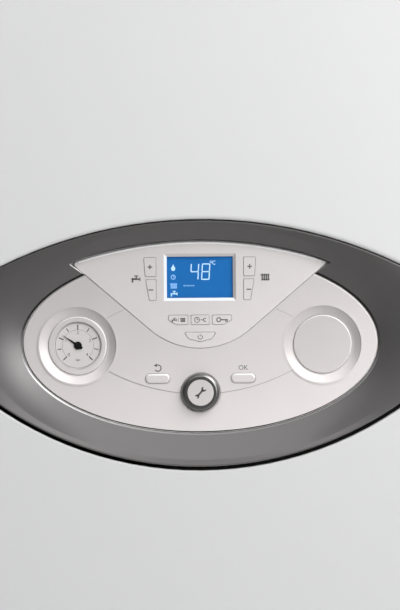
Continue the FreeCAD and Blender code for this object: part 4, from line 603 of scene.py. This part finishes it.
# signs that move with their keys: each shape with its size and its place beside the key's middle
keySigns = {
    "water_plus": [(plusShape, 4.6, 0.0)],
    "heating_plus": [(plusShape, 4.6, 0.0)],
    "water_minus": [(minusShape, 4.6, 0.0)],
    "heating_minus": [(minusShape, 4.6, 0.0)],
    "middle_mode": [(timedHeatShape, 5.2, 0.0)],
    "power": [(powerShape, 4.4, 0.0)],
    "left_mode": [(tapShape, 4.2, -4.2), (radiatorShape, 4.4, 4.6), ([bar(-0.2, -2, 0.2, 2)], 1.0, 0.0)],
    "right_mode": [(keyShape, 7.8, -3.2)],
}
for name, shapes in keySigns.items():
    u, v = middleOf(name + "_key")
    outlines = [loop for shape, size, aside in shapes for loop in moved(shape, u + aside, v, size)]
    printOrPaintedLightMark(name + "_sign", outlines, frontOf(name + "_key"), name + "_button")

# painted shade: a grey line at the foot of the raised pad on the fascia, standing in for the shade of its low step, as
# two arcs on each side
padShadeLine = {"r": 195.35, "wide": 0.5, "steps": 16, "topCentre": -146.0, "lowCentre": 144.0, "topFrom": 23.1,
           "lowFrom": 5.8, "to": 28.9, "behind": 0.6}
foot = []
for side in (-1, 1):
    begin, end = 90.0 - side * padShadeLine["topFrom"], 90.0 - side * padShadeLine["to"]
    foot += moved(ring(padShadeLine["r"], padShadeLine["wide"], padShadeLine["steps"], begin, end), 0.0, padShadeLine["topCentre"])
    begin, end = -90.0 + side * padShadeLine["lowFrom"], -90.0 + side * padShadeLine["to"]
    foot += moved(ring(padShadeLine["r"], padShadeLine["wide"], padShadeLine["steps"], begin, end), 0.0, padShadeLine["lowCentre"])

# marks on the pad and the knob: place and size
padSigns = {"behind": 0.3, "return": (-42.8, -25.2, 6.4), "confirm": (43.0, -25.4, 6.6), "service": (0.0, -50.0, 6.4)}
padFront = frontOf("panel_fascia") + padSigns["behind"]
# painted shade line along the foot of the pad
printOrPaintedLightMark("pad_painted_shade", foot, padFront + padShadeLine["behind"], ink="shade line")
printOrPaintedLightMark("return_sign", moved(returnShape, *padSigns["return"]), padFront)
u, v, size = padSigns["confirm"]
written("OK", size, "confirm_word", u, v, padFront)
printOrPaintedLightMark("service_sign", moved(wrenchShape, *padSigns["service"]), frontOf("knob_cap"), "knob")

# pressure scale on the dial
gauge = {"ticks": 9, "start": 225.0, "sweep": 270.0, "tickOuter": 20.4, "longTick": (4.2, 1.0), "shortTick": (3.2, 0.8),
         "outerRing": (22.6, 0.3, 60), "innerRing": (15.8, 0.2, 48, -45.0, 225.0), "numberRadius": 13.0,
         "numberHeight": 4.6, "unitDown": 14.5, "unitHeight": 3.2}
dialU, dialV = middleOf("gauge_dial")
dialFront = frontOf("gauge_dial")
scale = moved(ring(*gauge["outerRing"]) + ring(*gauge["innerRing"]), dialU, dialV)
for i in range(gauge["ticks"]):
    t = math.radians(gauge["start"] - gauge["sweep"] * i / (gauge["ticks"] - 1))
    numbered = i % 2 == 0
    length, width = gauge["longTick" if numbered else "shortTick"]
    tick = [(r * math.cos(t), r * math.sin(t)) for r in (gauge["tickOuter"] - length, gauge["tickOuter"])]
    scale += moved(stroke(tick, width), dialU, dialV)
    if numbered:
        r = gauge["numberRadius"]
        written(str(i // 2), gauge["numberHeight"], "pressure_number_%d" % (i // 2), dialU + r * math.cos(t),
                dialV + r * math.sin(t), dialFront)
printOrPaintedLightMark("pressure_scale", scale, dialFront, ink="black ink")
written("bar", gauge["unitHeight"], "pressure_unit", dialU, dialV - gauge["unitDown"], dialFront)

# lit signs of the display
display = {"digitHigh": 16.6, "digitWide": 8.6, "stroke": 1.15, "gap": 0.5, "lean": 0.06, "digitsUp": 71.6,
           "tensAt": -5.2, "onesAt": 6.0}
displaySigns = {"degree": (11.4, 81.4), "degreeLetter": (14.6, 80.6), "flame": (-26.8, 75.6, 6.2),
                "clock": (-26.8, 66.2, 4.2), "radiator": (-26.4, 57.4, 6.0), "tap": (-26.4, 49.6, 5.6)}
dashes = {"count": 5, "from": -16.4, "step": 2.3, "long": 1.5, "low": 57.0, "high": 58.2}
lcdFront = frontOf("lcd_module")


def digit(segments, u):
    w, h, s, g = display["digitWide"] / 2, display["digitHigh"] / 2, display["stroke"], display["gap"]
    places = {
        "top": bar(-w + g, h - s, w - g, h), "middle": bar(-w + g, -s / 2, w - g, s / 2),
        "low": bar(-w + g, -h, w - g, -h + s),
        "leftTop": bar(-w, g, -w + s, h - g), "leftLow": bar(-w, -h + g, -w + s, -g),
        "rightTop": bar(w - s, g, w, h - g), "rightLow": bar(w - s, -h + g, w, -g),
    }
    return moved([places[name] for name in segments], u, display["digitsUp"], 1.0, display["lean"])


lit = digit(("leftTop", "middle", "rightTop", "rightLow"), display["tensAt"])
lit += digit(("top", "middle", "low", "leftTop", "leftLow", "rightTop", "rightLow"), display["onesAt"])
lit += moved(ring(1.0, 0.5, 16), *displaySigns["degree"])
lit += moved(ring(1.7, 0.6, 16, 50.0, 310.0), *displaySigns["degreeLetter"])
lit += moved(flameShape, *displaySigns["flame"]) + moved(tapShape, *displaySigns["tap"])
faint = moved(smallClockShape, *displaySigns["clock"]) + moved(radiatorShape, *displaySigns["radiator"])
for i in range(dashes["count"]):
    begin = dashes["from"] + dashes["step"] * i
    faint.append(bar(begin, dashes["low"], begin + dashes["long"], dashes["high"]))
printOrPaintedLightMark("display_signs", lit, lcdFront, ink="lit segment")
printOrPaintedLightMark("display_side_signs", faint, lcdFront, ink="faint segment")
print("marks printed")

# pale floor
room = {"floorDrop": 1.0, "floorSize": 12.0, "sky": 0.42, "skyLow": 0.03, "skyFrom": (0.50, 0.62, 0.60)}
floorFinish = {"color": (0.80, 0.80, 0.79), "rough": 0.7, "vary": 0.02, "cloud": 1.5, "dust": 0.0}
floorZ = cadBounds[0].z - room["floorDrop"]
bpy.ops.mesh.primitive_plane_add(size=room["floorSize"], location=(0, 0, floorZ))
floor = bpy.context.object
floor.name = "floor"
floor.data.materials.append(makeFinish("pale floor", floorFinish))


# soft lamps, in metres and watts
def softLight(name, place, aim, size, power):
    data = bpy.data.lights.new(name, "AREA")
    data.shape = "RECTANGLE"
    data.size, data.size_y = size
    data.energy = power
    lamp = bpy.data.objects.new(name, data)
    lamp.location = place
    lamp.rotation_euler = (Vector(aim) - Vector(place)).to_track_quat("-Z", "Y").to_euler()
    bpy.context.scene.collection.objects.link(lamp)


panelMiddle = onPanel(0, 0, 0)
lamps = {
    "key light": {"place": (1.65, -1.97, 1.47), "aim": panelMiddle, "size": (1.8, 1.8), "power": 62.0},
    "side light": {"place": (0.95, -2.5, -0.1), "aim": panelMiddle, "size": (0.6, 1.0), "power": 19.0},
    "top light": {"place": (-0.6, -2.5, 1.1), "aim": panelMiddle, "size": (2.2, 0.6), "power": 11.5},
    "back light": {"place": (0.6, 2.6, 2.2), "aim": (0, -0.2, -0.3), "size": (2.0, 2.0), "power": 40.0},
}
for name, values in lamps.items():
    softLight(name, **values)

# sky that is brightest high up behind the boiler, to the right
world = bpy.data.worlds.new("studio air")
world.use_nodes = True
air = world.node_tree
backdrop = air.nodes["Background"]
sky = addNode(air, "ShaderNodeTexCoord")
height = vectorNode(air, "DOT_PRODUCT", sky.outputs["Generated"], room["skyFrom"])
feed(air, backdrop.inputs["Color"], rangeNode(air, height, -1.0, 1.0, room["skyLow"]))
backdrop.inputs["Strength"].default_value = room["sky"]
bpy.context.scene.world = world
bpy.context.scene.view_settings.view_transform = "Standard"

shot = {"distance": 2.4, "frameHigh": 0.610, "aimUp": 38.0, "roll": 0.4, "sensor": 36.0}
camData = bpy.data.cameras.new("camera")
camData.sensor_width = shot["sensor"]
camData.lens = shot["sensor"] * shot["distance"] / shot["frameHigh"]
cam = bpy.data.objects.new("camera", camData)
cam.location = onPanel(0, shot["aimUp"], 0) - Vector((0, shot["distance"], 0))
cam.rotation_euler = (math.pi / 2, math.radians(shot["roll"]), 0)
bpy.context.scene.collection.objects.link(cam)
bpy.context.scene.camera = cam
print("light and camera set")
